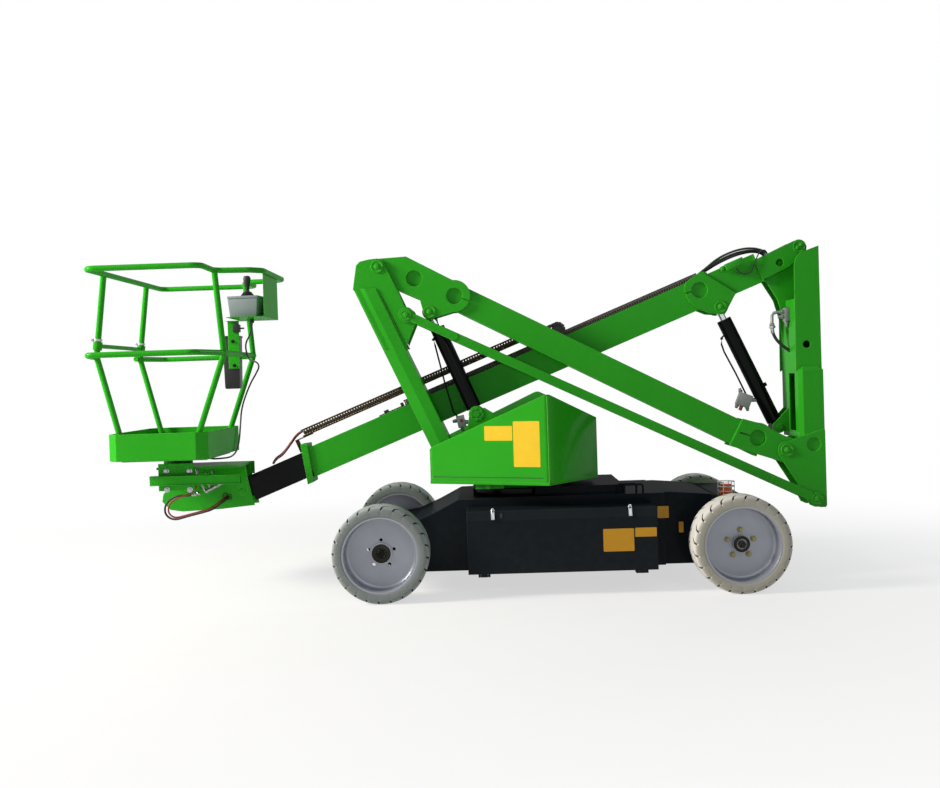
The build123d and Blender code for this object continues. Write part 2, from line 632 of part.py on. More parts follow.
# Tie bars on both sides of the cheeks
bars = []
length = math.hypot(*LINK)
up_x = -LINK[1] / length * TIE_BAR_DEPTH / 2
up_z = LINK[0] / length * TIE_BAR_DEPTH / 2
outline = [(x + sign * up_x, z + sign * up_z) for x, z, sign in (
    (*PIN_B, 1), (*PIN_D, 1), (*PIN_D, -1), (*PIN_B, -1))]
for y in both_sides(LOWER_Y, TIE_BAR_Y):
    tie = side_plate(outline, y) + across(PIN_B, 48, y) + across(PIN_D, 42, y)
    for pin in (PIN_B, PIN_D):
        tie -= across(pin, PIN_R + RUNNING_GAP, (y[0] - 1, y[1] + 1))
    bars.append(tie)
write("tie_bars", *bars)

# Upright: lower cheeks, wide column and a head with inner lugs and guard plates
cheek_outline = [
    (REAR_X - 6, 888), (1491, 838), (1384, 798), (1380, 735), (1513, 520),
    (1560, 425), (1625, 409), (REAR_X - 8, 409), (REAR_X, 420), (REAR_X, 880),
]
cheeks = []
for y in both_sides(LOWER_Y, CHEEK_Y):
    cheek = side_plate(cheek_outline, y) + across(PIN_C, 55, y) + across(PIN_D, 50, y)
    cheek -= across(CHEEK_HOLE, CHEEK_HOLE_R, (y[0] - 1, y[1] + 1))
    inner_y = y[1] if y[1] < LOWER_Y else y[0]
    backing_y = sorted((inner_y, inner_y + math.copysign(6, LOWER_Y - inner_y)))
    cheeks.append(cheek + across(CHEEK_HOLE, CHEEK_HOLE_R + 9, backing_y))
column = block((COLUMN_X, REAR_X), COLUMN_Y, COLUMN_Z)
column = chamfer(column.edges().filter_by(Axis.Z).group_by(Axis.X)[0], 24)
column = chamfer(column.faces().sort_by(Axis.Z)[-1].edges(), COLUMN_TOP_CUT)
bore_y = (COLUMN_Y[0] + COLUMN_WALL, COLUMN_Y[1] - COLUMN_WALL)
bore_z = (COLUMN_Z[0] - 1, COLUMN_Z[1] - 44)
bore = block((COLUMN_X + COLUMN_WALL, REAR_X - COLUMN_WALL), bore_y, bore_z)
column -= chamfer(bore.edges().filter_by(Axis.Z).group_by(Axis.X)[0], 20)
column -= block((COLUMN_X - 1, COLUMN_X + COLUMN_WALL + 1), WINDOW_Y, WINDOW_Z)
upright = cheeks[0] + cheeks[1] + column
upright += block((REAR_X - 12, REAR_X), (LOWER_Y - 88, LOWER_Y + 88), (425, COLUMN_Z[0]))
upright += block((REAR_X - 60, REAR_X - 12), (LOWER_Y - 88, LOWER_Y + 88), (560, 572))
for pin in (PIN_C, PIN_D):
    upright -= across(pin, PIN_R, (LOWER_Y - 130, LOWER_Y + 130))

HEAD_LOW = COLUMN_Z[1] - 40
head = []
head_outline = [
    (1385, 1824), (1460, 1700), (1500, 1560), (COLUMN_X, 1400), (COLUMN_X, HEAD_LOW),
    (REAR_X - 12, HEAD_LOW), (REAR_X - 12, 1990), (1630, 2030), (1565, 2050),
]
for y in both_sides(UPPER_Y, (46, 58)):
    lug = side_plate(head_outline, y) + across(PIN_E, 42, y)
    lug -= across(PIN_E, PIN_R + RUNNING_GAP, (y[0] - 1, y[1] + 1))
    head.append(lug)
guard_outline = [
    (1506, HEAD_LOW), (1512, 1900), (1526, 1942), (1550, 1970), (REAR_X, 2010), (REAR_X, HEAD_LOW),
]
web_y = (GUARD_Y[0][1], GUARD_Y[1][0])
upright_head = block((REAR_X - 12, REAR_X), web_y, (HEAD_LOW, 2000)) + head[0] + head[1]
upright_head += block((COLUMN_X, COLUMN_X + 8), web_y, (HEAD_LOW, 1690))
for y in GUARD_Y:
    guard_plate = side_plate(guard_outline, y)
    upright_head += guard_plate - across((1576, 1408), 23, (y[0] - 1, y[1] + 1))
envelope = block((COLUMN_X, REAR_X), COLUMN_Y, COLUMN_Z)
envelope = chamfer(envelope.faces().sort_by(Axis.Z)[-1].edges(), COLUMN_TOP_CUT)
upright_head -= envelope
write("upright_head", upright_head)

# Lugs for the upper cylinder on the front of the column
lug_x, lug_z = CYL_TABLE["upper"][0]
lugs = []
for y in both_sides(UPPER_Y, LUG_PLATE_Y):
    outline = [(COLUMN_X, 870), (lug_x - 20, 860), (lug_x - 40, 912), (lug_x, 950), (COLUMN_X, 1020)]
    lug = side_plate(outline, y) + across((lug_x, lug_z), 40, y)
    lug -= across((lug_x, lug_z), LUG_PIN_R, (y[0] - 1, y[1] + 1))
    lugs.append(lug)
write("upright_column", upright, *lugs)

write("upright_pins", boom_pin(PIN_C), *stub_pins(PIN_D), lug_pin((lug_x, lug_z), UPPER_Y))

# Lift cylinders, built upwards from the lug pin and then laid on their line
for label, row in CYL_TABLE.items():
    size = dict(zip(CYL_COLUMNS, row))
    lug, eye, barrel_r, rod_r, gland = (size[key] for key in CYL_COLUMNS[:5])
    run = (eye[0] - lug[0], 0, eye[1] - lug[1])
    line = Plane(origin=(lug[0], size["y"], lug[1]), x_dir=(0, 1, 0), z_dir=run)
    length = math.hypot(run[0], run[2])
    bore_r = barrel_r - 8
    barrel = Solid.make_cylinder(barrel_r, gland - 40, Plane(origin=(0, 0, 40)))
    barrel -= Solid.make_cylinder(bore_r, gland - 80 - 30, Plane(origin=(0, 0, 80)))
    barrel -= Solid.make_cylinder(rod_r + RUNNING_GAP, 100, Plane(origin=(0, 0, gland - 60)))
    foot = Plane(origin=(-42, 0, 0), z_dir=(1, 0, 0))
    barrel += Solid.make_cylinder(38, 84, foot) - Solid.make_cylinder(bore_r, 700, Plane(origin=(0, 0, 80)))
    barrel += block((-30, 30), (-30, 30), (0, 42))
    barrel -= Solid.make_cylinder(LUG_PIN_R + RUNNING_GAP, 100, Plane(origin=(-50, 0, 0), z_dir=(1, 0, 0)))
    write(f"cylinder_{label}", line.location * barrel)
    rod = Solid.make_cylinder(rod_r, length - 110, Plane(origin=(0, 0, 110)))
    rod += Solid.make_cylinder(bore_r - 0.3, 30, Plane(origin=(0, 0, 84)))
    rod += Solid.make_cylinder(EYE_R[label], 80, Plane(origin=(-40, 0, length), z_dir=(1, 0, 0)))
    write(f"rod_{label}", line.location * rod)

# Upper boom: outer tube, knuckle plates, tail bracket and front collar
tube_y = (UPPER_Y - OUTER_HALF_Y, UPPER_Y + OUTER_HALF_Y)
cavity_y = (tube_y[0] + OUTER_WALL, tube_y[1] - OUTER_WALL)
cavity_n = (OUTER_N[0] + OUTER_WALL, OUTER_N[1] - OUTER_WALL)
outer = upper_strip(OUTER_S, OUTER_N, tube_y)
flange_y = (UPPER_Y - UPPER_PLATE_Y, UPPER_Y + UPPER_PLATE_Y)
collar = [on_upper(s, n) for s, n in ((3340, 100), (3382, 112), (3440, -140), (3398, -140))]
collar = side_plate(collar, flange_y) - outer
bore = upper_strip((OUTER_S[0] - 1, OUTER_S[1] + 120), cavity_n, cavity_y)
collar -= bore
outer -= bore
for n in ((cavity_n[0], FLY_N[0] - PAD_GAP), (FLY_N[1] + PAD_GAP, cavity_n[1])):
    outer += upper_strip(PAD_S, n, (UPPER_Y - 45, UPPER_Y + 45))
for y in ((cavity_y[0], UPPER_Y - FLY_HALF_Y - PAD_GAP), (UPPER_Y + FLY_HALF_Y + PAD_GAP, cavity_y[1])):
    outer += upper_strip(PAD_S, (-80, 40), y)
write("upper_boom", outer, collar)

# Plates welded to the tube's sides: one pair for the cylinder, one for the pivot
knuckle = [
    (868, 1784), (880, 1826), (978, 1890), (1193, 1748), (1121, 1618), (1027, 1627), (948, 1660), (900, 1700),
]
tail = [(1315, 1949), (1560, 2062), (1594, 2068), (1643, 2030), (1640, 2000), (1533, 1902), (1368, 1826)]
brackets = []
tail_bracket = upper_strip((OUTER_S[0] - 12, OUTER_S[0]), OUTER_N, flange_y)
eye_2 = CYL_TABLE["upper"][1]
KNUCKLE_4 = (965.0, 1774.0)
for y in both_sides(UPPER_Y, (OUTER_HALF_Y, UPPER_PLATE_Y)):
    wide = (y[0] - 1, y[1] + 1)
    plate = side_plate(knuckle, y) + across(eye_2, 48, y) + across(KNUCKLE_4, 92, y)
    plate -= across(KNUCKLE_4, KNUCKLE_HOLE_R, wide)
    brackets.append(plate - sight_slot(KNUCKLE_4, -111, -22, wide))
    plate = side_plate(tail, y) + across(PIN_E, 46, y)
    plate -= across((1472, 1930), 24, wide)
    tail_bracket += plate - across(PIN_E, PIN_R, wide)
write("upper_brackets", tail_bracket, *brackets)

pin_e = across(PIN_E, PIN_R, (UPPER_Y - UPPER_PLATE_Y, UPPER_Y + UPPER_PLATE_Y))
for y in both_sides(UPPER_Y, (UPPER_PLATE_Y, UPPER_PLATE_Y + 5)):
    pin_e += across(PIN_E, 38, y)
heads = [across(eye_2, 26, y) for y in both_sides(UPPER_Y, (UPPER_PLATE_Y, UPPER_PLATE_Y + 4))]
write("upper_pins", pin_e, *heads)

# Hose trays: one on the outer tube, one carried by the fly boom
def channel(s, n, half_y, wall):
    """Open tray along the upper boom."""
    y = (UPPER_Y - half_y, UPPER_Y + half_y)
    tray = upper_strip(s, n, y)
    return tray - upper_strip((s[0] - 1, s[1] + 1), (n[0] + wall, n[1] + 1), (y[0] + wall, y[1] - wall))


write("fixed_tray", channel(FIXED_TRAY_S, (OUTER_N[1], 108), TRAY_HALF_Y, 4))

fly = upper_strip(FLY_S, FLY_N, (UPPER_Y - FLY_HALF_Y, UPPER_Y + FLY_HALF_Y))
bore_n = (FLY_N[0] + FLY_WALL, FLY_N[1] - FLY_WALL)
bore_y = (UPPER_Y - FLY_HALF_Y + FLY_WALL, UPPER_Y + FLY_HALF_Y - FLY_WALL)
fly -= upper_strip((FLY_S[0] - 1, FLY_S[1] + 1), bore_n, bore_y)
tip_outline = [on_upper(FLY_S[1], -70), on_upper(FLY_S[1] - 90, -70), on_upper(FLY_S[1] - 90, 40)]
tip_outline += [on_upper(FLY_S[1], 40), (TIP[0], TIP[1] + TIP_EAR_R), (TIP[0], TIP[1] - TIP_EAR_R)]
for y in both_sides(UPPER_Y, (36, 50)):
    fly += side_plate(tip_outline, y) + across(TIP, TIP_EAR_R, y)
fly -= across(TIP, TIP_PIN_R + RUNNING_GAP, (UPPER_Y - 60, UPPER_Y + 60))
write("fly_boom", fly)

tray = channel(MOVING_TRAY_S, MOVING_TRAY_N, TRAY_HALF_Y, 4)
bracket = upper_strip((3402, 3410), (FLY_N[1], 150), (UPPER_Y - 50, UPPER_Y + 50))
bracket += upper_strip((3300, 3410), (144, 150), (UPPER_Y - 50, UPPER_Y + 50))
write("moving_tray", tray + bracket)

# Energy chain between the two trays, bent over at its loop
run_y = (UPPER_Y - 48, UPPER_Y + 48)
low_n = OUTER_N[1] + 4 + RUNNING_GAP
high_n = MOVING_TRAY_N[0] + 4 + RUNNING_GAP
chain = upper_strip((LOOP_S, 1923), (low_n, low_n + LINK_T), run_y)
chain += upper_strip((LOOP_S, 2500), (high_n, high_n + LINK_T), run_y)
centre = on_upper(LOOP_S, (low_n + high_n + LINK_T) / 2)
loop_r = (high_n + LINK_T - low_n) / 2
loop = across(centre, loop_r, run_y) - across(centre, loop_r - LINK_T, (run_y[0] - 1, run_y[1] + 1))
loop -= upper_strip((LOOP_S, LOOP_S + 80), (60, 200), (run_y[0] - 1, run_y[1] + 1))
write("energy_chain", chain + loop)

# Cage carrier: hinged side plates, deck, bolted flange and side bar
deck_z = (DRUM_Z[0] - 14, DRUM_Z[0])
side_outline = [
    (-1935, 666), (-1898, 501), (-2114, 482), (-2359, 473), (-2440, 486), (-2490, 540),
    (-2480, 590), (-2420, 640), (-2300, 700), (-2300, deck_z[0]), (-1950, deck_z[0]),
]
carrier = block((-2460, -1950), (-164, 200), deck_z)
for y in both_sides(UPPER_Y, (62, 74)):
    carrier += side_plate(side_outline, y) - across(TIP, TIP_PIN_R, (y[0] - 1, y[1] + 1))
carrier += block((-2300, -2288), (UPPER_Y - 62, UPPER_Y + 62), (520, deck_z[0]))
carrier += block((-2445, -2222), (-176, -164), (626, 795))
carrier += block((-2490, -1930), (-212, -176), (662, 722))
carrier += block((-2230, -1930), (200, 212), (690, deck_z[1]))
tip_pin = across(TIP, TIP_PIN_R, (UPPER_Y - 78, UPPER_Y + 78))

# Rotator: fixed drum on the carrier, turning flange under the cage
spigot_z = (DRUM_Z[1], DRUM_Z[1] + 30)
rotator = upright_bar((CAGE_X, 0), 90, DRUM_Z) + upright_bar((CAGE_X, 0), SPIGOT_R, spigot_z)
write("cage_carrier", carrier, tip_pin, rotator)

# Cage floor: shallow pan with cut corners and toe boards
def pan_outline(inset):
    """Outline of the pan with its four corners cut, moved inwards by the inset."""
    x0, x1 = PAN_X[0] + inset, PAN_X[1] - inset
    h, c = PAN_HALF_Y - inset, PAN_CHAMFER - 0.4 * inset
    half = [(x0, -h + c), (x0 + c, -h), (x1 - c, -h), (x1, -h + c)]
    return half + [(x, -y) for x, y in reversed(half)]


pan = floor_plate(pan_outline(0), PAN_Z) - floor_plate(pan_outline(5), (PAN_Z[0] + 8, PAN_Z[1] + 1))
pan += block((PAN_X[0] + 40, PAN_X[1] - 40), (-300, 300), (PAN_Z[0] - 14, PAN_Z[0]))
pan += upright_bar((CAGE_X, 0), 80, (DRUM_Z[1] + PART_GAP, PAN_Z[0]))
pan -= upright_bar((CAGE_X, 0), SPIGOT_R + RUNNING_GAP, (DRUM_Z[1], PAN_Z[0]))
write("cage_floor", pan)

# Cage posts: four bent tubes
LEFT_POST = ((-2592, PAN_Z[0] + 8), (-2592, 960), (-2720, MID_Z), (-2660, TOP_Z))
RIGHT_POST = ((-2132, PAN_Z[0] + 8), (-2132, 960), (-1955, MID_Z - 6), (-1995, TOP_Z))
posts = []
for points in (LEFT_POST, RIGHT_POST):
    for side in (-1, 1):
        posts.append(pipe([(x, side * POST_HALF_Y, z) for x, z in points], POST_R, 60))

# Top rail: closed tube with a nose round the controls
top_rail = [(-2655, -RAIL_HALF_Y), (-1992, -RAIL_HALF_Y), (-1995, -405)]
top_rail += [(-1790, -NOSE_HALF_Y), (NOSE_X, -300)]
top_rail += [(x, -y) for x, y in reversed(top_rail)]
top_rail = pipe([(x, y, TOP_Z) for x, y in top_rail], RAIL_R, 60, closed=True)
write("top_rail", top_rail)
above = block((2 * CAGE_X, 0), (-PAN_HALF_Y, PAN_HALF_Y), (TOP_Z, TOP_Z + 100))
posts = [post - top_rail - above for post in posts]
write("cage_posts", *posts)

# Mid rail: open at the entry side, wrapped round the outside of the posts
mid_rail = [(MID_RAIL_X, -365), (MID_RAIL_X, -440), (-2655, -RAIL_HALF_Y)]
mid_rail += [(MID_RIGHT_X - 85, -RAIL_HALF_Y), (MID_RIGHT_X, -POST_HALF_Y - 40)]
mid_rail += [(x, -y) for x, y in reversed(mid_rail)]
mid_rail = pipe([(x, y, MID_Z) for x, y in mid_rail], RAIL_R, 50)
for post in posts:
    mid_rail -= post
write("mid_rail", mid_rail)

# Drop bar: cross tube on two sleeves that slide up the entry posts
lean = Vector(LEFT_POST[3][0] - LEFT_POST[2][0], 0, LEFT_POST[3][1] - LEFT_POST[2][1]).normalized()
sleeves = []
for side in (-1, 1):
    foot = Vector(LEFT_POST[2][0], side * POST_HALF_Y, LEFT_POST[2][1]) + lean * 40
    plane = Plane(origin=foot, z_dir=lean)
    bore = Solid.make_cylinder(POST_R + 0.3, 60, plane.offset(-5))
    sleeves.append(Solid.make_cylinder(POST_R + 9, 50, plane) - bore)
middle = Vector(LEFT_POST[2][0], 0, LEFT_POST[2][1]) + lean * 65
reach_y = POST_HALF_Y - 20
cross = bar((middle.X, -reach_y, middle.Z), (middle.X, reach_y, middle.Z), 13)
write("drop_bar", sleeves[0] + cross + sleeves[1])

# Controls in the nose: tray with a guard plate, grey box, joystick and a holder box below
TRAY_Z = 1680.0
HOLDER_X = MID_RIGHT_X - RAIL_R - PART_GAP
plate_x = NOSE_X - 2
TRAY_LEFT = -1960.0
STRIP_X = (-2055.0, HOLDER_X)
STRIP_Y = (126.0, 130.0)
tray_z = (TRAY_Z, TRAY_Z + 4)
bracket = block((plate_x - 3, plate_x + 1), (-290, STRIP_Y[1]), (TRAY_Z, TOP_Z - RAIL_R))
bracket += block((TRAY_LEFT, plate_x - 3), (-290, STRIP_Y[1]), tray_z)
bracket += block((STRIP_X[0], TRAY_LEFT), (STRIP_Y[0] - 36, STRIP_Y[1]), tray_z)
bracket += block(STRIP_X, STRIP_Y, (1376, tray_z[1]))
write("control_bracket", bracket)
write("control_box", block((-1955, -1757), (-262, -20), (tray_z[1], 1815)))
boot = Pos(-1857, -150, 1827) * Cone(44, 22, 24)
stick = upright_bar((-1857, -150), 13, (1839, 1902)) + upright_bar((-1857, -150), 22, (1902, 1945))
write("joystick", boot + stick)
write("holder_box", block((HOLDER_X - 116, HOLDER_X), (STRIP_Y[1], STRIP_Y[1] + 98), (1238, 1590)))
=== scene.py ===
"""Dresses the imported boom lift: paint, rubber, steel, fittings and hoses around the CAD pieces."""
import bmesh
import bpy
import math
from mathutils import Matrix, Vector


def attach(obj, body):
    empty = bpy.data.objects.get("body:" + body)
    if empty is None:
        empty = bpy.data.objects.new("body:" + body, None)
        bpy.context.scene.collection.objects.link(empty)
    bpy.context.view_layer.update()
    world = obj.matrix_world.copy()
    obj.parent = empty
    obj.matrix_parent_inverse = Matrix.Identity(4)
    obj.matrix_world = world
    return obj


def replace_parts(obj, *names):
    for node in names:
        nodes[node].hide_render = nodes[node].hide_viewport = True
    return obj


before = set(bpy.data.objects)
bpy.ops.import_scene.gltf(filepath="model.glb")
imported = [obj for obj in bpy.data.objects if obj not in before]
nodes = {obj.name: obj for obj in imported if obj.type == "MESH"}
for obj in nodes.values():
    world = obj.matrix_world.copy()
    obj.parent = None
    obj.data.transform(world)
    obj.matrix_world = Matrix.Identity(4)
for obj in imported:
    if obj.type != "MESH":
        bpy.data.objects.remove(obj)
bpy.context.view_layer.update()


# Camera. The photograph was taken from the near side, about seven metres off at chest height, with
# a longish lens; the three angles are its turn, its tilt and its roll.
CAMERA_AT = Vector((0.1804, -6.8080, 1.2686))
YAW, PITCH, ROLL = -0.0199, -0.0151, -0.0322
LENS_MM, SENSOR_MM = 41.2532, 36.0
forward = Vector((math.sin(YAW) * math.cos(PITCH), math.cos(YAW) * math.cos(PITCH), math.sin(PITCH)))
level_right = Vector((math.cos(YAW), -math.sin(YAW), 0))
level_up = level_right.cross(forward)
right = math.cos(ROLL) * level_right + math.sin(ROLL) * level_up
up = -math.sin(ROLL) * level_right + math.cos(ROLL) * level_up
lens = bpy.data.cameras.new("camera")
lens.sensor_width = SENSOR_MM
lens.lens = LENS_MM
camera = bpy.data.objects.new("camera", lens)
camera.matrix_world = Matrix.Translation(CAMERA_AT) @ Matrix((right, up, -forward)).transposed().to_4x4()
bpy.context.scene.collection.objects.link(camera)
bpy.context.scene.camera = camera
bpy.context.scene.view_settings.view_transform = "Standard"


# Studio. A pale painted floor that fades into a white sky, one large soft lamp high on the left
# where the sun stood, a weaker one from the camera's side and one behind on the right.
def linear(code):
    """Linear colour of an sRGB hex code."""
    parts = [int(code[i:i + 2], 16) / 255 for i in (1, 3, 5)]
    return tuple(c / 12.92 if c <= 0.04045 else ((c + 0.055) / 1.055) ** 2.4 for c in parts) + (1.0,)


def add_node(tree, kind, settings=(), inputs=()):
    """Adds a node; inputs are values, sockets to link from, or nodes whose first output is linked."""
    node = tree.nodes.new("ShaderNode" + kind)
    for key, value in dict(settings).items():
        setattr(node, key, value)
    for key, value in dict(inputs).items():
        if isinstance(value, bpy.types.Node):
            value = value.outputs[0]
        if isinstance(value, bpy.types.NodeSocket):
            tree.links.new(value, node.inputs[key])
        else:
            node.inputs[key].default_value = value
    return node


def blank_material(name):
    """Material with nothing but its output, and that output's node."""
    material = bpy.data.materials.new(name)
    material.use_nodes = True
    material.node_tree.nodes.clear()
    return material, material.node_tree, add_node(material.node_tree, "OutputMaterial")


def seen_directly(tree):
    """One for rays that show the backdrop: from the camera, off gloss and through glass."""
    ray = add_node(tree, "LightPath")
    first = add_node(tree, "Math", {"operation": "MAXIMUM"},
                     {0: ray.outputs["Is Camera Ray"], 1: ray.outputs["Is Transmission Ray"]})
    second = add_node(tree, "Math", {"operation": "MAXIMUM"},
                      {0: first, 1: ray.outputs["Is Glossy Ray"]})
    return second


FLOOR_HALF = 40.0
# The floor's own glow starts at this share under the machine and is all white farther out
NEAR_GLOW, FADE_START, FADE_END = 0.62, 1.6, 5.5
floor_mesh = bpy.data.meshes.new("studio_floor")
corners = [(x, y, 0.0) for x, y in ((-1, -1), (1, -1), (1, 1), (-1, 1))]
floor_mesh.from_pydata([(x * FLOOR_HALF, y * FLOOR_HALF, z) for x, y, z in corners], [], [(0, 1, 2, 3)])
floor = bpy.data.objects.new("studio_floor", floor_mesh)
bpy.context.scene.collection.objects.link(floor)
floor_paint, tree, output = blank_material("matt_floor_paint")
spot = add_node(tree, "TexCoord")
speckle = add_node(tree, "TexNoise", inputs={
    "Vector": spot.outputs["Object"], "Scale": 6.0, "Detail": 4.0})
tint = add_node(tree, "Mix", {"data_type": "RGBA"}, {
    0: speckle.outputs["Fac"], 6: linear("#e4e4e3"), 7: linear("#ebebea")})
away = add_node(tree, "VectorMath", {"operation": "LENGTH"}, {0: spot.outputs["Object"]})
fade = add_node(tree, "MapRange", {"interpolation_type": "SMOOTHSTEP"}, {
    "Value": away.outputs["Value"], "From Min": FADE_START, "From Max": FADE_END,
    "To Min": NEAR_GLOW, "To Max": 1.0})
share = add_node(tree, "Math", {"operation": "MULTIPLY"}, {0: seen_directly(tree), 1: fade})
matt = add_node(tree, "BsdfDiffuse", inputs={"Color": tint.outputs[2]})
glow = add_node(tree, "Emission", inputs={"Color": linear("#ffffff"), "Strength": 1.0})
shade = add_node(tree, "MixShader", inputs={0: share, 1: matt, 2: glow})
tree.links.new(shade.outputs[0], output.inputs["Surface"])
floor_mesh.materials.append(floor_paint)

world = bpy.data.worlds.new("studio_sky")
bpy.context.scene.world = world
world.use_nodes = True
world.node_tree.nodes.clear()
sky = world.node_tree
sky_out = add_node(sky, "OutputWorld")
plain = add_node(sky, "Background", inputs={"Color": linear("#e8eef4"), "Strength": 0.28})
white = add_node(sky, "Background", inputs={"Color": linear("#ffffff"), "Strength": 1.0})
either = add_node(sky, "MixShader", inputs={0: seen_directly(sky), 1: plain, 2: white})
sky.links.new(either.outputs[0], sky_out.inputs["Surface"])

LAMP_AIM = Vector((0, 0, 0.9))
LAMPS = [
    ("key_lamp", (-8.0, -2.4, 4.8), 2.6, 1180.0, "#fff9f0"),
    ("fill_lamp", (1.5, -7.5, 4.2), 4.5, 50.0, "#f4f8ff"),
    ("rim_lamp", (4.5, 5.5, 4.5), 3.5, 130.0, "#ffffff"),
]
for name, place, width, power, colour in LAMPS:
    lamp = bpy.data.lights.new(name, "AREA")
    lamp.shape = "DISK"
    lamp.size = width
    lamp.energy = power
    lamp.color = linear(colour)[:3]
    holder = bpy.data.objects.new(name, lamp)
    holder.location = place
    holder.rotation_euler = (LAMP_AIM - Vector(place)).to_track_quat("-Z", "Y").to_euler()
    bpy.context.scene.collection.objects.link(holder)


# Chassis frame and battery boxes. Folded and welded steel plate, sprayed with a dark slate gloss;
# the coat is slightly uneven, paler on its edges as painted highlight and worn paint, and dusty low down.
def clouded(name, shade, deeper, patch, detail, rough=0.5):
    """Start of a finish: its colour drifts between two shades in soft patches of a size in metres."""
    material, tree, output = blank_material(name)
    place = add_node(tree, "TexCoord").outputs["Object"]
    cloud = add_node(tree, "TexNoise", inputs={
        "Vector": place, "Scale": 1 / patch, "Detail": detail, "Roughness": rough}).outputs["Fac"]
    body = add_node(tree, "Mix", {"data_type": "RGBA"}, {
        0: cloud, 6: linear(deeper), 7: linear(shade)}).outputs[2]
    return material, tree, output, place, cloud, body


def sprayed_steel(name, shade, deeper, rough=0.32, dusty=0.10, coat=0.2, edge=None):
    """Gloss paint on steel: soft clouding, orange peel, paler thin edges of painted highlight and worn
    paint, and road dust low down.
    """
    material, tree, output, place, _, body = clouded(name, shade, deeper, 0.35, 5.0, 0.55)
    # Real edges are rounded about 2 mm; at 6 mm their thin, bright line still shows from this far off
    rounded = add_node(tree, "Bevel", {"samples": 6}, {"Radius": 0.006})
    sheet = add_node(tree, "NewGeometry")
    bend = add_node(tree, "VectorMath", {"operation": "DOT_PRODUCT"},
                    {0: rounded, 1: sheet.outputs["Normal"]})
    # Paler colour along edges and folds, found from the rounded normal: painted highlight for their bright
    # lines, and thin worn paint
    rim = add_node(tree, "MapRange", inputs={
        "Value": bend.outputs["Value"], "From Min": 0.72, "From Max": 0.95, "To Min": 0.9, "To Max": 0.0})
    worn = add_node(tree, "Mix", {"data_type": "RGBA"}, {0: rim, 6: body, 7: linear(edge or shade)})
    height = add_node(tree, "SeparateXYZ", inputs={"Vector": place})
    low = add_node(tree, "MapRange", inputs={
        "Value": height.outputs["Z"], "From Min": 0.0, "From Max": 0.9, "To Min": dusty, "To Max": 0.0})
    grit = add_node(tree, "TexNoise", inputs={
        "Vector": place, "Scale": 1 / 0.05, "Detail": 6.0, "Roughness": 0.7})
    film = add_node(tree, "Math", {"operation": "MULTIPLY"}, {0: low, 1: grit.outputs["Fac"]})
    dust = add_node(tree, "Mix", {"data_type": "RGBA"}, {
        0: film, 6: worn.outputs[2], 7: linear("#9a958a")})
    gloss = add_node(tree, "MapRange", inputs={
        "Value": grit.outputs["Fac"], "To Min": rough - 0.06, "To Max": rough + 0.10})
    # Real orange peel is about 2 mm across; at 9 mm it still shows from this far off
    peel = add_node(tree, "TexNoise", inputs={"Vector": place, "Scale": 1 / 0.009, "Detail": 2.0})
    skin = add_node(tree, "Bump", inputs={
        "Height": peel.outputs["Fac"], "Strength": 0.06, "Distance": 0.002, "Normal": rounded})
    paint = add_node(tree, "BsdfPrincipled", inputs={
        "Base Color": dust.outputs[2], "Roughness": gloss, "Normal": skin,
        "Coat Weight": coat, "Coat Roughness": 0.14, "Specular IOR Level": 0.0})
    tree.links.new(paint.outputs[0], output.inputs["Surface"])
    return material


def give(material, *names):
    """The named CAD nodes take one finish on all their faces."""
    for name in names:
        mesh = nodes[name].data
        mesh.materials.clear()
        mesh.materials.append(material)


# The only gloss is in the thin clear coat, so that the dark paint stays dark at a low angle
# The last colour of each is its paler edge colour: painted highlight and worn paint
slate_gloss = sprayed_steel("slate_gloss_on_steel", "#161d23", "#12191e", 0.36, 0.06, 0.05, "#36434c")
black_satin = sprayed_steel("black_satin_on_steel", "#0d0e10", "#08090a", 0.40, 0.05, 0.15, "#26282b")
give(slate_gloss, "chassis_frame", "battery_boxes", "battery_door_near", "battery_door_far",
     "door_hinges", "grab_handles", "power_pack")
give(black_satin, "steer_axle", "drive_motors", "steer_knuckle_near", "steer_knuckle_far", "slew_ring")


# Door latches. Bright zinc-plated toggles on the doors' top bands, each with a wire loop that hooks
# over a catch on the box, and a black finger slot beside the front one.
def at(x, y, z):
    """Point of the part in metres, from millimetres measured at mid-wheelbase as in the CAD source."""
    return Vector(((x + 545.5) / 1000, y / 1000, z / 1000))


def new_piece(name, shapes, material, body):
    """One mesh piece from lists of points and faces, with its finish, riding on a body."""
    points, faces = [], []
    for some_points, some_faces in shapes:
        base = len(points)
        points.extend(tuple(p) for p in some_points)
        faces.extend(tuple(i + base for i in face) for face in some_faces)
    mesh = bpy.data.meshes.new(name)
    mesh.from_pydata(points, [], faces)
    mesh.materials.append(material)
    piece = bpy.data.objects.new(name, mesh)
    bpy.context.scene.collection.objects.link(piece)
    shape = bmesh.new()
    shape.from_mesh(mesh)
    bmesh.ops.recalc_face_normals(shape, faces=shape.faces)
    shape.to_mesh(mesh)
    shape.free()
    mesh.shade_smooth()
    mesh.set_sharp_from_angle(angle=math.radians(38))
    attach(piece, body)
    return piece


def rounded_block(size, place, edge=2.0, lower=(1.0, 1.0)):
    """Points and faces of a block in mm with rounded edges, set by a matrix; lower narrows its foot."""
    shape = bmesh.new()
    bmesh.ops.create_cube(shape, size=1.0)
    bmesh.ops.scale(shape, vec=Vector(size) / 1000, verts=shape.verts)
    for v in shape.verts:
        if v.co.z < 0:
            v.co.x *= lower[0]
            v.co.y *= lower[1]
    bmesh.ops.bevel(shape, geom=shape.edges, offset=edge / 1000, segments=2, affect="EDGES", profile=0.6)
    shape.verts.index_update()
    points = [place @ v.co for v in shape.verts]
    faces = [tuple(v.index for v in f.verts) for f in shape.faces]
    shape.free()
    return points, faces


def laid(place, turn=0.0):
    """Matrix that sets a block down at a point, turned by degrees in the side view."""
    return Matrix.Translation(place) @ Matrix.Rotation(math.radians(-turn), 4, "Y")


